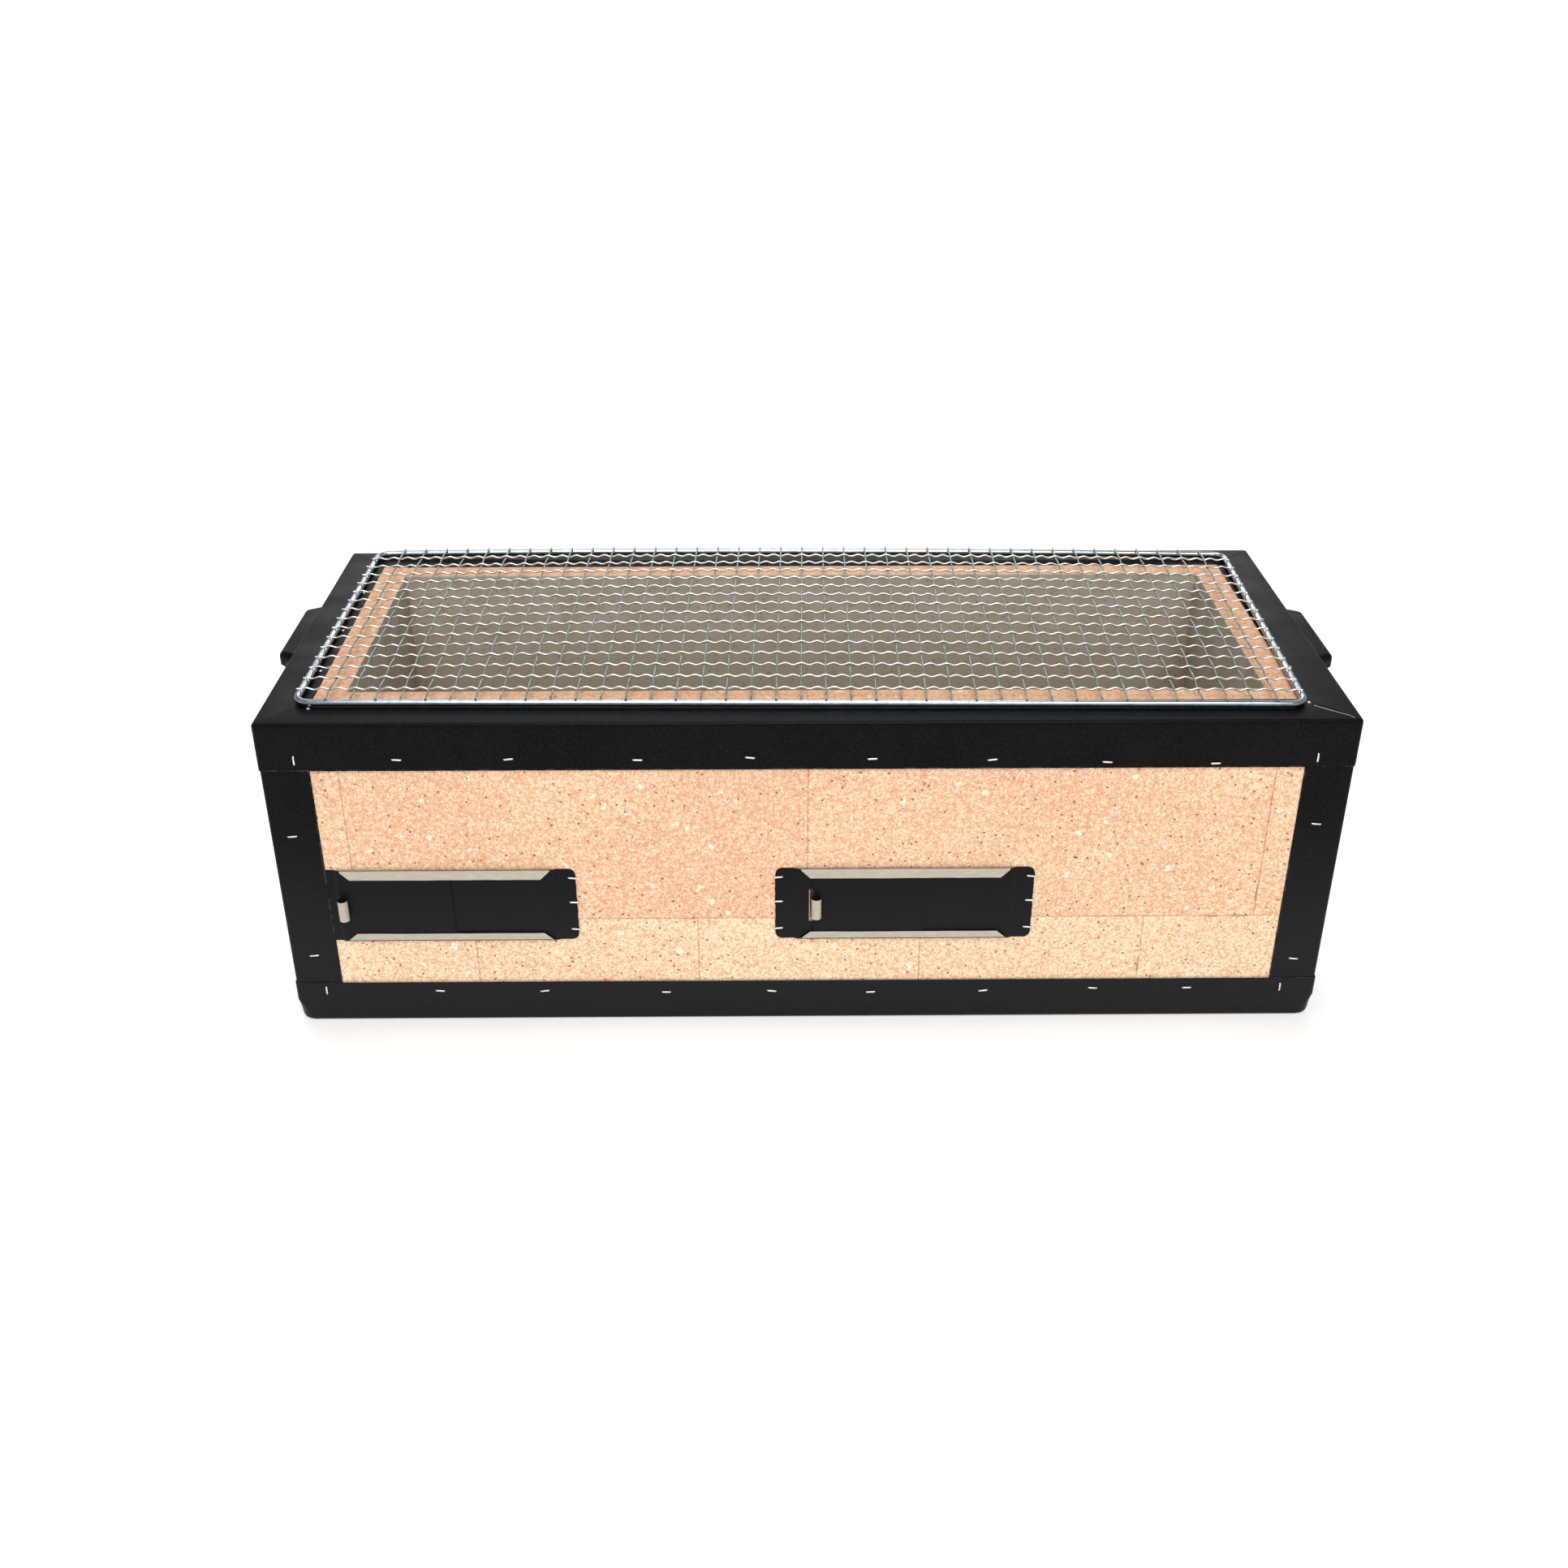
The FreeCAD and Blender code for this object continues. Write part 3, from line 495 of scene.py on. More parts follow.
def brick(node, material, tone, breaks, solid, cavity_low, cavity_high):
    """A brick on a grid of blocks, with worn and chipped edges. solid tells which blocks are there.

    Each grid face is drawn where exactly one of the two blocks beside it is there.
    """
    bm = new_mesh()
    low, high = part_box(node)
    lines = [brick_lines(breaks[axis]) for axis in range(3)]
    made = {}

    def vertex(key):
        if key not in made:
            made[key] = bm.verts.new([lines[axis][key[axis]] for axis in range(3)])
        return made[key]

    def filled(block):
        return all(0 <= block[axis] < len(breaks[axis]) - 1 for axis in range(3)) and solid(block)

    for axis in range(3):
        u, v = (axis + 1) % 3, (axis + 2) % 3
        for level, value in enumerate(breaks[axis]):
            fine = lines[axis].index(value)
            for i in range(len(lines[u]) - 1):
                for j in range(len(lines[v]) - 1):
                    block = [0, 0, 0]
                    block[u] = bisect(breaks[u], (lines[u][i] + lines[u][i + 1]) / 2) - 1
                    block[v] = bisect(breaks[v], (lines[v][j] + lines[v][j + 1]) / 2) - 1
                    block[axis] = level
                    above = filled(tuple(block))
                    block[axis] = level - 1
                    if above == filled(tuple(block)):
                        continue
                    corners = []
                    for a, b in ((i, j), (i + 1, j), (i + 1, j + 1), (i, j + 1)):
                        key = [0, 0, 0]
                        key[axis], key[u], key[v] = fine, a, b
                        corners.append(vertex(tuple(key)))
                    bm.faces.new(corners)

    seed = chance.uniform(0, 30)
    for vert in bm.verts:
        place = vert.co.copy()
        gaps = [(min(place[a] - low[a], high[a] - place[a]), a) for a in range(3)]
        gaps.sort()
        (near, first), (next_near, second) = gaps[0], gaps[1]
        worn = WEAR + WEAR_SWING * noise.noise(place * 170)
        chip = CHIP * max(0.0, noise.noise(place * 95 + Vector((seed, 3, 1))) - CHIP_START)
        depth = max(LEAST_WEAR, worn + chip)
        beside = [gap for gap in gaps if gap[1] != 2]
        if place.z < FOOT_HEIGHT and beside[0][0] + beside[1][0] < FOOT_CHAMFER:
            (near, first), (next_near, second) = beside
            depth = FOOT_CHAMFER
        span = near + next_near
        if span < depth:
            for axis in (first, second):
                inward = 1 if place[axis] - low[axis] < high[axis] - place[axis] else -1
                vert.co[axis] += inward * (depth - span) / 2
        inside = all(cavity_low[a] - MM / 100 <= place[a] <= cavity_high[a] + MM / 100 for a in range(3))
        mark(bm, [vert], edge=max(0.0, 1 - span / EDGE_REACH), cavity=float(inside), seed=seed, tone=tone)
    finish_piece(f"{node}_block", bm, BOX_BODY, [material], [node], 50)


def bricks():
    inner_left, inner_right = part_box("end_brick_left")[1].x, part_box("end_brick_right")[0].x
    inner_front, inner_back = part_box("front_brick_left")[1].y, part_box("back_brick_left")[0].y
    floor_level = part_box("front_brick_left")[0].z
    cavity_low = Vector((inner_left, inner_front, floor_level))
    cavity_high = Vector((inner_right, inner_back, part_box("front_brick_left")[1].z))
    tones = {"front_brick_left": -0.06, "end_brick_left": -0.04, "front_brick_right": 0.02,
             "end_brick_right": 0.05}
    for node in frame["nodes"]:
        if "brick" not in node:
            continue
        low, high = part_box(node)
        base = node.startswith("base")
        breaks = [[low[axis], high[axis]] for axis in range(3)]
        hole_blocks = ()
        if node.startswith("front"):
            breaks[0] = [low.x, low.x + HOLE_IN, low.x + HOLE_END, high.x]
            breaks[2] = [low.z, low.z + HOLE_HEIGHT, high.z]
            hole_blocks = ((1, 0, 0),)
        slot, material = ("fire_brick_base", BASE_BRICK) if base else ("fire_brick_wall", WALL_BRICK)
        tone = tones.get(node, chance.uniform(-0.1, 0.15))
        brick(node, material, tone, breaks, lambda block, holes=hole_blocks: block not in holes,
              cavity_low, cavity_high)


# ---------------- steel frames

SHEET = 0.6 * MM
FLANGE = 25.8 * MM
BEND = 2.0 * MM
CORNER, FOOT_CORNER = 2.4 * MM, 6.1 * MM     # the corners' radius, and what it gains at the foot
CUT_EDGE = 0.22 * MM
WORN = 1.1 * MM
GROOVE = 0.28 * MM
GROOVE_DEPTH = 0.40 * MM
APRON_STEPS = (FOOT_HEIGHT, 10.0 * MM, 6.0 * MM)
LAP_SEAM = -4.2 * MM
LAP_POINTS = ((269.6, -106.4), (275.2, -110.8), (280.3, -114.8), (284.7, -118.0), (287.0, -121.0))


def angle_profile(cut_level, bend_level, width):
    """The L section as (inset, level) points: up the apron, over the bend, along the flange, and back."""
    up = 1 if bend_level > cut_level else -1
    bend = arc((BEND, bend_level - up * BEND), BEND, 180, 180 - up * 90, 5)
    inner = BEND - SHEET
    inner_bend = arc((BEND, bend_level - up * BEND), inner, 180 - up * 90, 180, 3)
    tip = [(width - WORN, bend_level), (width - CUT_EDGE, bend_level), (width, bend_level - up * CUT_EDGE),
           (width, bend_level - up * (SHEET - CUT_EDGE)), (width - CUT_EDGE, bend_level - up * SHEET)]
    wall = [(0.0, bend_level - up * rise) for rise in APRON_STEPS]
    root = [(SHEET, cut_level + up * CUT_EDGE), (SHEET - CUT_EDGE, cut_level), (CUT_EDGE, cut_level),
            (0.0, cut_level + up * CUT_EDGE), (0.0, cut_level + up * WORN)]
    return root[-2:] + wall + bend + tip + inner_bend + root[:-2]


def edge_frame(node, up, corner_radius, seam=None):
    """An angle strip bent round the box, mitred at its corners, with the joint of its two ends at seam."""
    low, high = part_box(node)
    half_x, half_y = high.x, high.y
    cut_level, bend_level = (low.z, high.z) if up else (high.z, low.z)
    profile = angle_profile(cut_level, bend_level, FLANGE)
    rings = []

    def corner_ring(sx, sy, angle, lean):
        ring = []
        for inset, level in profile:
            radius = corner_radius(level)
            centre = Vector((sx * (half_x - radius), sy * (half_y - radius)))
            if inset <= radius:
                flat = centre + Vector((math.cos(angle), math.sin(angle))) * (radius - inset)
            else:
                along = Vector((-sy, sx)) / math.sqrt(2)
                flat = centre - Vector((sx, sy)) * (inset - radius) + along * lean * GROOVE
                if lean == 0 and level == bend_level:
                    level -= GROOVE_DEPTH * (1 if up else -1)
            ring.append(Vector((flat.x, flat.y, level)))
        return ring

    def seam_ring(shift):
        ring = []
        for inset, level in profile:
            if shift == 0 and level == bend_level:
                level -= GROOVE_DEPTH * (1 if up else -1)
            if shift == 0 and inset < CUT_EDGE:
                inset += GROOVE_DEPTH
            ring.append(Vector((half_x - inset, seam + shift, level)))
        return ring

    for sx, sy in ((1, -1), (1, 1), (-1, 1), (-1, -1)):
        start = math.atan2(sy, sx) - math.pi / 4
        for share, lean in ((0.0, -1), (0.25, -1), (0.5, 0), (0.75, 1), (1.0, 1)):
            rings.append(corner_ring(sx, sy, start + share * math.pi / 2, lean))
        if seam is not None and (sx, sy) == (1, -1):
            rings += [seam_ring(shift) for shift in (-0.8 * GROOVE, 0, 0.8 * GROOVE)]
    bm = new_mesh()
    rows = loft(bm, rings, closed=True)
    worn = [k for k, (inset, level) in enumerate(profile)
            if abs(level - cut_level) <= CUT_EDGE or abs(inset - FLANGE) <= CUT_EDGE]
    for row in rows:
        mark(bm, [row[k] for k in worn], edge=1.0)
    return bm


def top_frame():
    """The upper strip. At its front right corner one flange laps the other and shows a bare cut edge."""
    bm = edge_frame("top_frame", True, lambda level: CORNER, seam=LAP_SEAM)
    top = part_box("top_frame")[1].z
    lap = [Vector((x * MM, y * MM, top)) for x, y in LAP_POINTS]
    sweep(bm, lap, rounded_bar(0.40 * MM, 0.26 * MM, 0.08 * MM), Z_AXIS, tone=1)
    finish_piece("top_frame_strip", bm, BOX_BODY, [PAINT, ZINC], ["top_frame"], 40)


def base_frame():
    """The lower strip; its bottom corners are knocked round."""
    def corner_radius(level):
        share = min(1.0, level / FOOT_HEIGHT)
        return CORNER + FOOT_CORNER * (1 - share * share)

    bm = edge_frame("base_frame", False, corner_radius)
    finish_piece("base_frame_strip", bm, BOX_BODY, [PAINT], ["base_frame"], 40)


def posts():
    """Corner angles: one bent strip each, standing inside the two edge frames, clear of the foot."""
    for end, sx in (("left", -1), ("right", 1)):
        for side, sy in (("front", -1), ("back", 1)):
            node = f"post_{side}_{end}"
            low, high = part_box(node)
            outer = Vector((high.x if sx > 0 else low.x, high.y if sy > 0 else low.y))
            width = high.x - low.x
            inner = BEND - SHEET
            leg = [(width - WORN, 0.0), (width - CUT_EDGE, 0.0), (width, CUT_EDGE),
                   (width, SHEET - CUT_EDGE), (width - CUT_EDGE, SHEET)]
            outline = arc((BEND, BEND), BEND, 180, 270, 5) + leg
            outline += arc((BEND, BEND), inner, 270, 180, 3) + [(b, a) for a, b in reversed(leg)]
            section = [(outer.y - sy * b, outer.x - sx * a) for a, b in outline]
            bm = new_mesh()
            heights = spread(max(low.z, FOOT_HEIGHT), high.z, 30 * MM)
            rows = sweep(bm, [Z_AXIS * level for level in heights], section, X_AXIS)
            for row in rows:
                rim = [row[k] for k, (a, b) in enumerate(outline) if max(a, b) > width - 2 * CUT_EDGE]
                mark(bm, rim, edge=0.8)
            finish_piece(f"{node}_angle", bm, BOX_BODY, [PAINT], [node], 40)


# ---------------- end handles

HOOD_BASE, HOOD_GRIP = 76.0 * MM, 64.0 * MM
HOOD_SKIRT, HOOD_SIDE = 8.0 * MM, 25.0 * MM
HOOD_BEND, HOOD_CORNER = 3.4 * MM, 4.5 * MM
PLATE_CORNER, PLATE_WITHIN = 3.0 * MM, 0.96


def hood_plan(reach):
    """The flared outline of a hood as (out, along, normal) places, its two outer corners round."""
    near, far = HOOD_BASE / 2, HOOD_GRIP / 2
    lean = math.atan2(near - far, reach)
    turn = math.pi / 2 - lean
    back_off = HOOD_CORNER * math.tan(turn / 2)
    flank = Vector((math.cos(lean), math.sin(lean)))
    places = []
    for share in (0.0, 0.33, 0.66, 1.0):
        spot = Vector((0.0, -near)) + flank * share * (Vector((reach, near - far)).length - back_off)
        places.append((spot, Vector((math.sin(lean), -math.cos(lean)))))
    centre = Vector((reach - HOOD_CORNER, -far + back_off))
    first = -math.pi / 2 + lean
    for step in range(1, 6):
        angle = first + turn * step / 5
        normal = Vector((math.cos(angle), math.sin(angle)))
        places.append((centre + normal * HOOD_CORNER, normal))
    mirrored = [(Vector((spot.x, -spot.y)), Vector((normal.x, -normal.y)))
                for spot, normal in reversed(places)]
    return places + mirrored


def handle(node, side):
    """A hood of bent sheet over finger space, welded to a plate on the end of the box."""
    low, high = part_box(node)
    wall = low.x if side > 0 else high.x
    reach = high.x - low.x
    middle, top = (low.y + high.y) / 2, high.z

    def world(out, along, level):
        return Vector((wall + side * out, middle + side * along, level))

    rings = []
    for spot, normal in hood_plan(reach):
        hem = top - HOOD_SIDE + (HOOD_SIDE - HOOD_SKIRT) * min(1.0, spot.x / (reach - HOOD_CORNER))
        outer = [(0.0, hem + CUT_EDGE)] + arc((-HOOD_BEND, top - HOOD_BEND), HOOD_BEND, 0, 90, 6)
        inner = arc((-HOOD_BEND, top - HOOD_BEND), HOOD_BEND - SHEET, 90, 0, 6)
        section = outer + inner + [(-SHEET, hem + CUT_EDGE), (-SHEET + CUT_EDGE, hem), (-CUT_EDGE, hem)]
        ring = []
        for offset, level in section:
            place = spot + normal * offset
            ring.append(world(max(0.0, place.x), place.y, level))
        rings.append(ring)
    bm = new_mesh()
    crest, under = 7, 8              # where the bend ends at the top's outer and inner face
    skin = loft(bm, rings, skip=(crest,))
    bm.faces.new([row[crest] for row in skin])
    bm.faces.new([row[under] for row in skin])
    bm.faces.new((skin[0][crest], skin[0][under], skin[-1][under], skin[-1][crest]))
    for row in skin:
        mark(bm, row[-3:] + row[:1], edge=0.9)

    def plate_place(along, level, face):
        """The plate behind the hood: its lower corners are round, and inside the hood it is narrower."""
        short = max(0.0, PLATE_CORNER - (HOOD_BASE / 2 - abs(along)))
        lift = PLATE_CORNER - math.sqrt(max(0.0, PLATE_CORNER ** 2 - short ** 2))
        level = max(level, low.z + lift)
        within = level > top - HOOD_SIDE - MM
        return world(face * SHEET, along * (PLATE_WITHIN if within else 1.0), level)

    near_ends = [side * (HOOD_BASE / 2 - step * MM) for side in (-1, 1) for step in (0.4, 1.2, 2.2)]
    columns = sorted(spread(-HOOD_BASE / 2, HOOD_BASE / 2, 6 * MM) + near_ends)
    rows = spread(low.z, top - SHEET, 6 * MM)
    sheet_grid(bm, columns, rows, lambda i, j: True, plate_place)
    finish_piece(f"{node}_hood", bm, BOX_BODY, [PAINT], [node], 40)


# ---------------- air vents

VENT_LENGTH = 143.0 * MM
VENT_SHEET = 0.5 * MM
JOGGLE_START, JOGGLE_END, JOGGLE_RISE = 9.8 * MM, 12.9 * MM, 1.0 * MM
UPPER_LIP, LOWER_LIP, LOWER_LIP_RISE = 5.3 * MM, 4.5 * MM, 1.0 * MM
LIP_BEND, LIP_DROOP = 0.75 * MM, 0.28 * MM
TAB_WAVE, PLATE_RIPPLE = 0.35 * MM, 0.12 * MM
LIP_START, LIP_END, LIP_MITRE = 14.1 * MM, 129.2 * MM, 5.3 * MM
WINDOW_START, WINDOW_LENGTH = 18.6 * MM, 55.4 * MM
WINDOW_LOW, WINDOW_HIGH = 66.5 * MM, 87.8 * MM
TAB_CORNER = 4.0 * MM
PULL_RADIUS, PULL_LOW, PULL_HIGH, PULL_SET_BACK = 2.8 * MM, 71.5 * MM, 84.2 * MM, 1.2 * MM


def joggle(local):
    """How far the plate stands off the brick at a distance from its left end."""
    inset = min(local, VENT_LENGTH - local)
    share = min(1.0, max(0.0, (inset - JOGGLE_START) / (JOGGLE_END - JOGGLE_START)))
    return JOGGLE_RISE * share * share * (3 - 2 * share)


def vent_frame(node, tucked):
    """A plate with tabs on the brick, a raised middle with a window, and two lips folded forward."""
    low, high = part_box(node)
    start, face = high.x - VENT_LENGTH, high.y
    bottom, top = low.z, high.z
    middle, half = (low.z + high.z) / 2, (high.z - low.z) / 2
    window = (WINDOW_START, WINDOW_START + WINDOW_LENGTH)
    first = (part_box("post_front_left")[1].x if tucked else low.x) - start
    end = VENT_LENGTH
    stretches = (
        (first, first + TAB_CORNER, 0.5), (first + TAB_CORNER, JOGGLE_START - 0.3 * MM, 1.0),
        (JOGGLE_START, JOGGLE_END, 0.4), (JOGGLE_END + 0.8 * MM, window[0], 2.0),
        (window[0] + 5 * MM, window[1], 5.0), (window[1] + 5 * MM, end - JOGGLE_END - 0.8 * MM, 6.0),
        (end - JOGGLE_END, end - JOGGLE_START, 0.4),
        (end - JOGGLE_START + 0.3 * MM, end - TAB_CORNER, 1.0), (end - TAB_CORNER, end, 0.5))
    columns = sorted({x for near, far, pitch in stretches for x in spread(near, far, pitch * MM)})
    rows = (spread(bottom, WINDOW_LOW, 2 * MM) + spread(WINDOW_LOW + 2 * MM, WINDOW_HIGH, 2 * MM)
            + spread(WINDOW_HIGH + 2 * MM, top, 2 * MM))

    def present(i, j):
        x, z = (columns[i] + columns[i + 1]) / 2, (rows[j] + rows[j + 1]) / 2
        return not (window[0] < x < window[1] and WINDOW_LOW < z < WINDOW_HIGH)

    def place(local, level, side):
        reach = VENT_LENGTH - local if tucked else min(local - first, VENT_LENGTH - local)
        short = max(0.0, TAB_CORNER - reach)
        height = half - TAB_CORNER + math.sqrt(max(0.0, TAB_CORNER ** 2 - short ** 2))
        on_tab = max(0.0, 1 - reach / (9 * MM))
        wave = noise.noise(Vector((start * 40, level * 230, 0.3))) * TAB_WAVE * on_tab
        level = middle + (level - middle) * height / half
        ripple = noise.noise(Vector((local * 90, level * 70, 5.0))) * PLATE_RIPPLE
        out = joggle(local) + (1 - side) * VENT_SHEET + (ripple if reach > JOGGLE_END else 0.0)
        return Vector((start + local + wave, face - out, level))

    bm = new_mesh()
    sheet_grid(bm, columns, rows, present, place, edge=0.0)

    plate_front = JOGGLE_RISE + VENT_SHEET
    lip_front = face - low.y

    def bend(radius, angles):
        turns = [math.radians(angle) for angle in angles]
        return [(lip_front - LIP_BEND + radius * math.sin(a), LIP_BEND - radius * math.cos(a)) for a in turns]

    for edge_level, up, lip in ((top, 1, UPPER_LIP), (bottom + LOWER_LIP_RISE, -1, LOWER_LIP)):
        outer = [(plate_front, 0.0)] + bend(LIP_BEND, (0, 22, 45, 67, 90))
        outer += [(lip_front, lip - 0.1 * MM), (lip_front - 0.1 * MM, lip)]
        inner = [(lip_front - VENT_SHEET, lip)] + bend(LIP_BEND - VENT_SHEET, (90, 45, 0))
        inner += [(plate_front, VENT_SHEET)]
        tones = [1] * (len(outer) - 1) + [0] * (len(inner) + 1)
        rings = []
        for share in spread(0.0, 1.0, 0.07):
            ring = []
            for out, depth in outer + inner:
                drop = depth / lip
                left, right = LIP_START + LIP_MITRE * drop, LIP_END - LIP_MITRE * drop
                local = left + (right - left) * share
                droop = noise.noise(Vector((local * 60, edge_level * 900, 2.0))) * LIP_DROOP * drop
                ring.append(Vector((start + local, face - out - 0.4 * droop,
                                    edge_level - up * (depth + droop))))
            rings.append(ring)
        loft(bm, rings, tones)
    finish_piece(f"{node}_plate", bm, BOX_BODY, [PAINT, GREY_SHEET], [node], 40)


def vent_slider(node, body):
    """A flat plate behind the lips; a tongue cut in its left end is rolled forward into a finger pull."""
    low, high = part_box(node)
    back = high.y
    front = back - VENT_SHEET
    notch = low.x + PULL_RADIUS
    columns = (spread(low.x + PULL_SET_BACK, notch, 0.8 * MM)
               + spread(notch + 4 * MM, high.x - 0.3 * MM, 6 * MM) + [high.x])
    rows = (spread(low.z, PULL_LOW, 3 * MM) + spread(PULL_LOW + 2 * MM, PULL_HIGH, 3 * MM)
            + spread(PULL_HIGH + 2 * MM, high.z, 3 * MM))

    def present(i, j):
        x, z = (columns[i] + columns[i + 1]) / 2, (rows[j] + rows[j + 1]) / 2
        return not (x < notch and PULL_LOW < z < PULL_HIGH)

    def place(x, level, side):
        return Vector((x, back if side else front, level))

    bm = new_mesh()
    sheet_grid(bm, columns, rows, present, place, edge=0.0)
    centre = (notch, front - PULL_RADIUS)
    rings = []
    for angle in spread(90.0, 418.0, 14.0):
        turn = Vector((math.cos(math.radians(angle)), math.sin(math.radians(angle))))
        tight = 1.0 - 0.05 * max(0.0, (angle - 300.0) / 118.0)
        near, far = (PULL_RADIUS - VENT_SHEET) * tight, PULL_RADIUS * tight
        inside, outside = (Vector((centre[0], centre[1])) + turn * r for r in (near, far))
        rings.append([Vector((spot.x, spot.y, level)) for spot, level in
                      ((outside, PULL_LOW), (outside, PULL_HIGH), (inside, PULL_HIGH), (inside, PULL_LOW))])
    loft(bm, rings, [1, 0, 0, 0])
    finish_piece(f"{node}_plate", bm, body, [PAINT, GREY_SHEET], [node], 40)


# ---------------- cooking net

NET_TURN = math.radians(-0.7)
NET_CORNER = 8.0 * MM
ROD_RADIUS, WIRE_RADIUS = 2.0 * MM, 0.55 * MM
CRIMP = 0.55 * MM
BOW_FRONT, BOW_CENTRE, BOW_BACK = 0.2 * MM, 3.3 * MM, 2.0 * MM
SKEW, SPREAD = 0.8 * MM, 1.6 * MM
PAST_ROD, SHORT_END, FLATTEN = 1.1 * MM, 0.9 * MM, 5.0 * MM


class Net:
    """The net's own frame: u along its length, v along its depth, both from its centre."""

    def __init__(self):
        low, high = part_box("net_rim")
        self.centre = Vector(((low.x + high.x) / 2, (low.y + high.y) / 2, 0.0))
        size_x, size_y = (high.x - low.x) / 2, (high.y - low.y) / 2
        slant = abs(math.sin(NET_TURN))
        self.half_u = size_x - slant * (size_y - NET_CORNER) - ROD_RADIUS
        self.half_v = size_y - slant * (size_x - NET_CORNER) - ROD_RADIUS
        self.rod_level = (low.z + high.z) / 2
        self.wire_level = high.z + WIRE_RADIUS

    def place(self, u, v, level):
        """A point of the bowed net in the row frame."""
        a, b = u / self.half_u, v / self.half_v
        arch = BOW_CENTRE * max(0.0, 1 - b * b) + BOW_FRONT * (1 - b) / 2 + BOW_BACK * (1 + b) / 2
        bow = max(0.0, 1 - a * a) * arch
        lean = (SKEW + SPREAD * a) * b
        x = (u + lean) * math.cos(NET_TURN) - v * math.sin(NET_TURN)
        y = (u + lean) * math.sin(NET_TURN) + v * math.cos(NET_TURN)
        return Vector((self.centre.x + x, self.centre.y + y, level + bow))


def loop_points(half_u, half_v, corner, pitch):
    """A rectangle with round corners as (u, v) points, counter-clockwise."""
    points = []
    corners = ((1, 1, 0), (-1, 1, 90), (-1, -1, 180), (1, -1, 270))
    for index, (su, sv, start) in enumerate(corners):
        centre = (su * (half_u - corner), sv * (half_v - corner))
        bend = arc(centre, corner, start, start + 90, 8)
        points += bend
        nu, nv, following = corners[(index + 1) % 4]
        begin, end = Vector(bend[-1]), Vector(arc((nu * (half_u - corner), nv * (half_v - corner)), corner,
                                                  following, following, 1)[0])
        steps = max(2, round((end - begin).length / pitch))
        points += [tuple(begin.lerp(end, k / steps)) for k in range(1, steps)]
    return points


def row_places(node, axis, net, count):
    """The places of a row of parallel wires across their net, from the CAD row's first and last wire."""
    low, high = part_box(node)
    length = high[1 - axis] - low[1 - axis]
    slant = abs(math.sin(NET_TURN)) * length
    middle = (low[axis] + high[axis]) / 2 - net.centre[axis]
    half = (high[axis] - low[axis] - slant) / 2 - WIRE_RADIUS
    return [middle - half + 2 * half * k / (count - 1) for k in range(count)]


def weld(bm, centre, size):
    """A small flattened bead where a wire is welded down."""
    made = bmesh.ops.create_icosphere(bm, subdivisions=2, radius=1.0)
    for vert in made["verts"]:
        vert.co = Vector(centre) + Vector((vert.co.x * size[0], vert.co.y * size[1], vert.co.z * size[2]))


def cooking_net():
    net = Net()
    bm = new_mesh()
    loop = loop_points(net.half_u, net.half_v, NET_CORNER, 14.0 * MM)
    rim = [net.place(u, v, net.rod_level) for u, v in loop]
    sweep(bm, rim, circle(ROD_RADIUS, 14), Z_AXIS, closed=True)
    finish_piece("net_rim_rod", bm, NET_BODY, [CHROME], ["net_rim"])

    rows = row_places("net_long_wires", 1, net, 15)
    columns = row_places("net_cross_wires", 0, net, 39)
    row_pitch = (rows[-1] - rows[0]) / (len(rows) - 1)
    column_pitch = (columns[-1] - columns[0]) / (len(columns) - 1)

    def fade(distance):
        """The crimp dies out where a wire runs up onto the rim rod."""
        share = min(1.0, max(0.0, distance / FLATTEN))
        return share * share * (3 - 2 * share)

    bm = new_mesh()
    for index, v in enumerate(rows):
        sign = 1 if index % 2 else -1
        ends = [side * (net.half_u + PAST_ROD - 0.4 * side * MM + chance.uniform(-0.4, 0.4) * MM)
                for side in (-1, 1)]
        points = []
        for u in spread(ends[0], ends[1], column_pitch / 12):
            wave = math.cos(3 * math.pi * (u - columns[0]) / column_pitch) * sign
            rise = CRIMP * wave * fade(net.half_u - abs(u))
            points.append(net.place(u, v + 0.15 * MM * wave, net.wire_level + rise))
        sweep(bm, points, circle(WIRE_RADIUS, 8), Z_AXIS)
        for side in (-1, 1):
            weld(bm, net.place(side * net.half_u, v, net.wire_level - WIRE_RADIUS),
                 (0.9 * MM, 0.75 * MM, 0.35 * MM))
    finish_piece("net_long_wires_woven", bm, NET_BODY, [WIRE_PAINTED_LIT], ["net_long_wires"], 60)

    bm = new_mesh()
    for index, u in enumerate(columns):
        sign = -1 if index % 2 else 1
        front_end = -SHORT_END if index % 2 else PAST_ROD
        ends = [-net.half_v - front_end, net.half_v + SHORT_END + chance.uniform(-0.3, 0.3) * MM]
        points = []
        for v in spread(ends[0], ends[1], row_pitch / 8):
            wave = math.cos(math.pi * (v - rows[0]) / row_pitch) * sign
            points.append(net.place(u, v, net.wire_level + CRIMP * wave * fade(net.half_v - abs(v))))
        sweep(bm, points, circle(WIRE_RADIUS, 8), Z_AXIS)
        for side in (-1, 1):
            weld(bm, net.place(u, side * net.half_v, net.wire_level - WIRE_RADIUS),
                 (0.75 * MM, 0.9 * MM, 0.35 * MM))
    finish_piece("net_cross_wires_woven", bm, NET_BODY, [WIRE_PAINTED_SHADE], ["net_cross_wires"], 60)


# ---------------- charcoal grate

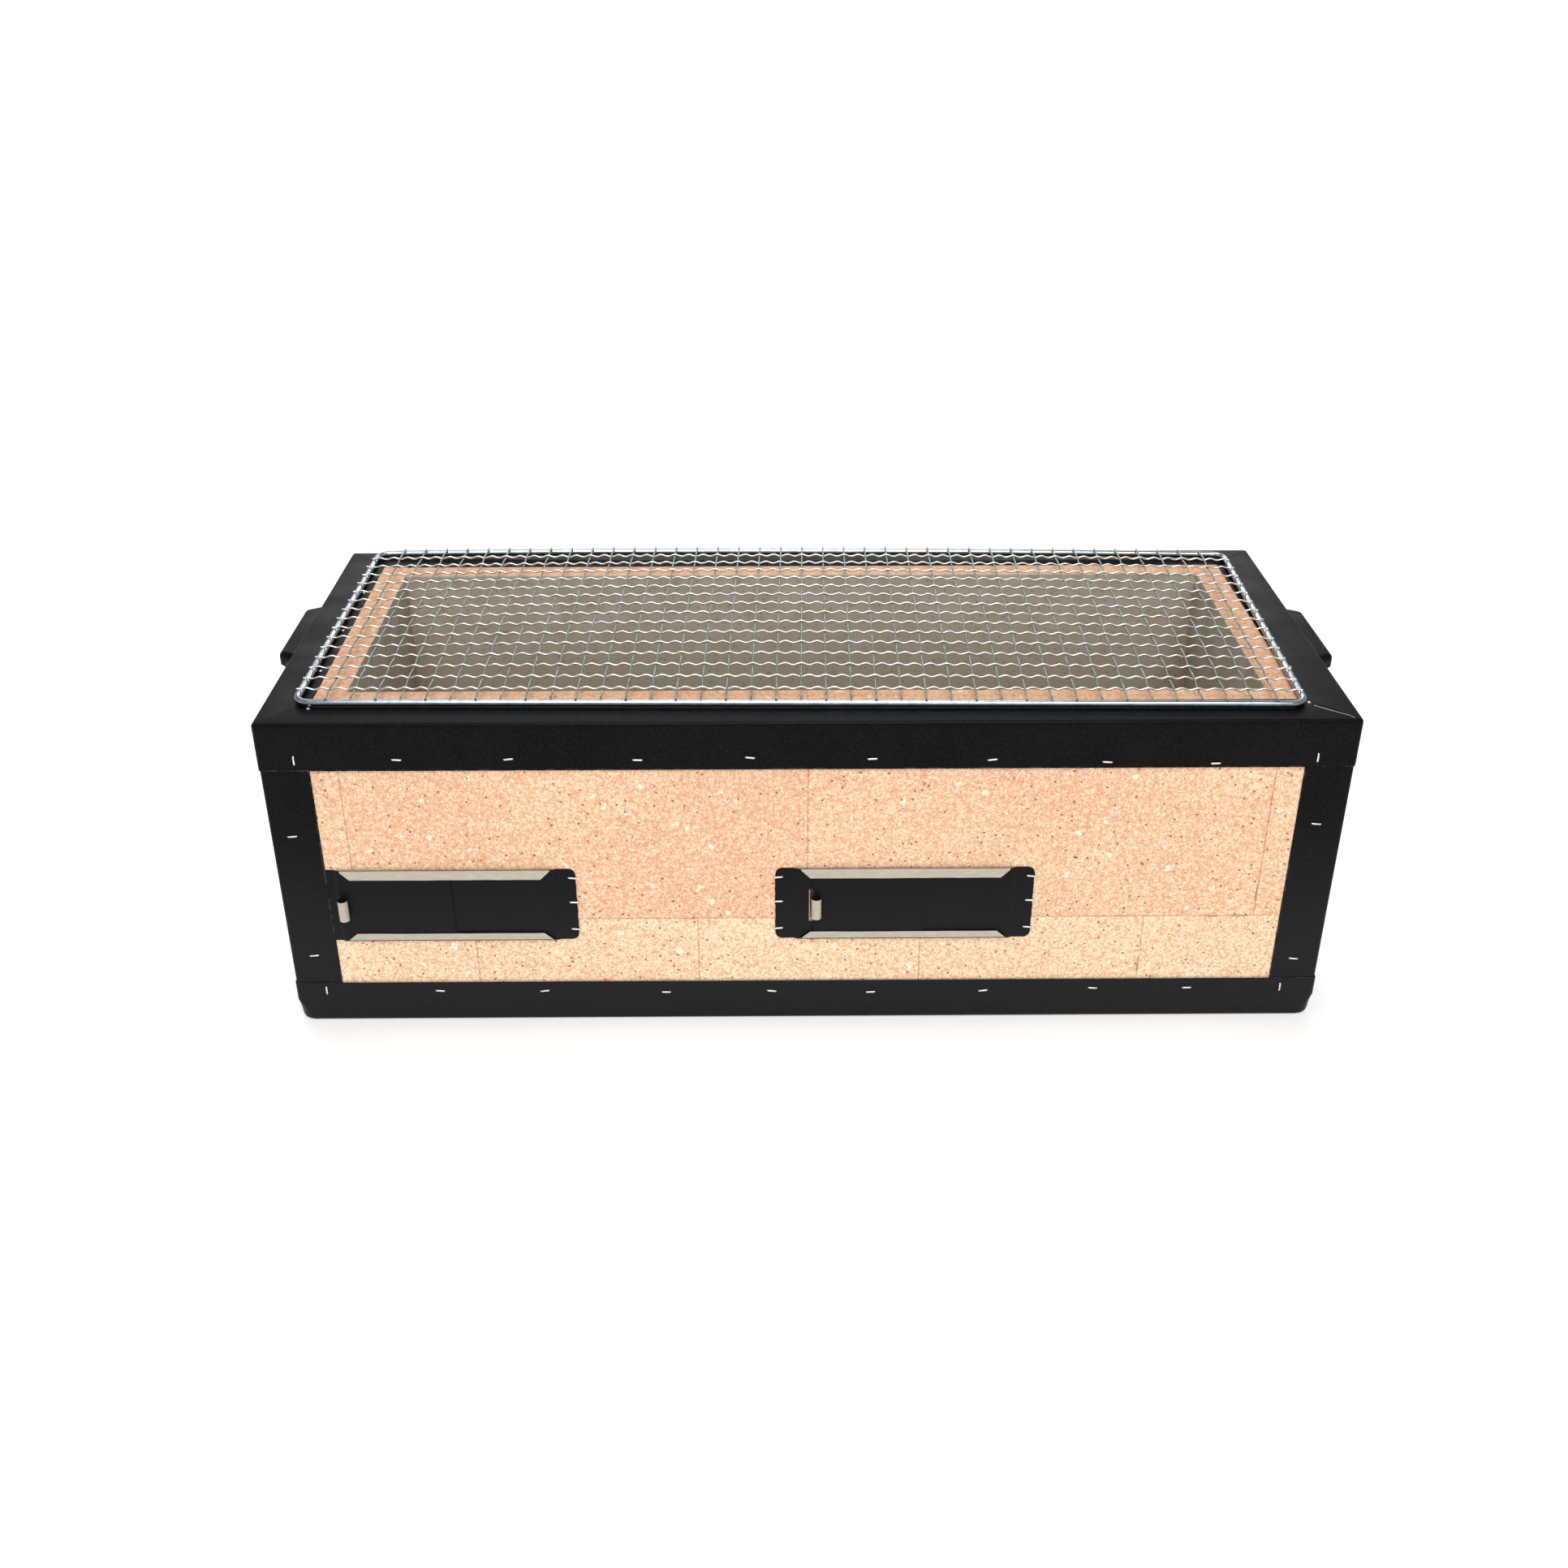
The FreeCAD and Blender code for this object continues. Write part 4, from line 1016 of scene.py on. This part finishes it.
def charcoal_grate():
    """Bars welded across a bent rim rod that stands on six straight legs."""
    low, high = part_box("grate_rim")
    bar_low, bar_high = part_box("grate_bars")
    rod = 2.0 * MM
    half_x, half_y = high.x - rod, high.y - rod
    level = high.z - rod
    bm = new_mesh()
    rim = [Vector((u, v, level)) for u, v in loop_points(half_x, half_y, 8.0 * MM, 30.0 * MM)]
    sweep(bm, rim, circle(rod, 12), Z_AXIS, closed=True)
    for x in (-190.0 * MM, 0.0, 190.0 * MM):
        for side in (-1, 1):
            post = [Vector((x, side * half_y, level)), Vector((x, side * half_y, low.z + 0.8 * MM)),
                    Vector((x, side * half_y, low.z))]
            sweep(bm, post, circle(rod, 12), X_AXIS)
            weld(bm, (x, side * half_y, level - rod), (2.6 * MM, 2.6 * MM, 1.4 * MM))
    finish_piece("grate_rim_rod", bm, GRATE_BODY, [GRATE_STEEL], ["grate_rim"])

    bar = (bar_high.z - bar_low.z) / 2
    bar_level = (bar_high.z + bar_low.z) / 2
    bm = new_mesh()
    count = 35
    for k in range(count):
        x = bar_low.x + bar + (bar_high.x - bar_low.x - 2 * bar) * k / (count - 1)
        drift = chance.uniform(-0.3, 0.3) * MM
        ends = [bar_low.y + abs(drift), bar_high.y - abs(drift)]
        points = [Vector((x + drift * math.sin(v * 17), v, bar_level))
                  for v in spread(ends[0], ends[1], 20 * MM)]
        sweep(bm, points, circle(bar, 10), Z_AXIS)
        for side in (-1, 1):
            weld(bm, (x, side * half_y, bar_level - bar), (1.9 * MM, 2.0 * MM, 0.9 * MM))
    finish_piece("grate_bars_welded", bm, GRATE_BODY, [GRATE_STEEL], ["grate_bars"], 60)


# ---------------- staples and pins

def separate_solids(node):
    """The points of each separate solid of a CAD node."""
    bm = bmesh.new()
    bm.from_mesh(frame["nodes"][node].data)
    bmesh.ops.remove_doubles(bm, verts=bm.verts, dist=0.01 * MM)
    seen, groups = set(), []
    for start in bm.verts:
        if start in seen:
            continue
        seen.add(start)
        group, front = [], [start]
        while front:
            vert = front.pop()
            group.append(vert.co.copy())
            for edge in vert.link_edges:
                other = edge.other_vert(vert)
                if other not in seen:
                    seen.add(other)
                    front.append(other)
        groups.append(group)
    bm.free()
    return groups


def crown_of(points, outward):
    """The middle of a staple's crown and the direction that it lies in."""
    reach = max(point.dot(outward) for point in points)
    face = [point for point in points if reach - point.dot(outward) < 0.05 * MM]
    start = face[0]
    face.sort(key=lambda point: (point - start).length)
    middle = sum(face, Vector()) / len(face)
    return middle, (face[-2] - start).normalized()


def staple(bm, middle, along, outward):
    """A U of flat wire: its crown lies proud of the wall and its shoulders bend into the legs."""
    thick, wide, crown = 0.62 * MM, 0.95 * MM, 5.7 * MM
    shoulder = 0.85 * MM
    half = crown / 2 - thick / 2
    line = [(-half, -4.0 * MM)] + arc((-half + shoulder, -shoulder), shoulder, 180, 90, 4)
    line += [(0.0, -0.06 * MM)]
    line += arc((half - shoulder, -shoulder), shoulder, 90, 0, 4) + [(half, -4.0 * MM)]
    seat = middle - outward * thick / 2
    points = [seat + along * a + outward * b for a, b in line]
    sweep(bm, points, rounded_bar(thick, wide, 0.22 * MM), along.cross(outward))


def staple_group(node, outward_of):
    bm = new_mesh()
    for points in separate_solids(node):
        centre = sum(points, Vector()) / len(points)
        outward = outward_of(centre)
        middle, along = crown_of(points, outward)
        staple(bm, middle, along, outward)
    finish_piece(f"{node}_wire", bm, BOX_BODY, [ZINC], [node], 60)


def fasteners():
    facings = {"staples_front": -Y_AXIS, "staples_back": Y_AXIS, "staples_left": -X_AXIS,
               "staples_right": X_AXIS, "vent_staples": -Y_AXIS}
    for node, facing in facings.items():
        staple_group(node, lambda centre, way=facing: way)
    staple_group("handle_staples", lambda centre: X_AXIS if centre.x > 0 else -X_AXIS)
    bm = new_mesh()
    for points in separate_solids("flange_pins"):
        low = [min(point[axis] for point in points) for axis in range(3)]
        high = [max(point[axis] for point in points) for axis in range(3)]
        centre = Vector(((low[0] + high[0]) / 2, (low[1] + high[1]) / 2, high[2]))
        radius = (high[0] - low[0]) / 2
        dome = ((1.0, -4.0), (1.0, 0.0), (0.93, 0.16), (0.70, 0.28), (0.38, 0.34))
        rings = [[centre + Vector((radius * share * math.cos(math.tau * k / 16),
                                   radius * share * math.sin(math.tau * k / 16), rise * MM))
                  for k in range(16)] for share, rise in dome]
        loft(bm, rings)
    finish_piece("flange_pin_heads", bm, BOX_BODY, [ZINC], ["flange_pins"], 50)


# ---------------- the grill

add_camera()
add_studio()
bricks()
top_frame()
base_frame()
posts()
handle("handle_left", -1)
handle("handle_right", 1)
vent_frame("vent_frame_left", True)
vent_frame("vent_frame_right", False)
vent_slider("vent_slider_left", "left_vent_slider")
vent_slider("vent_slider_right", "right_vent_slider")
cooking_net()
charcoal_grate()
fasteners()

bpy.context.view_layer.update()
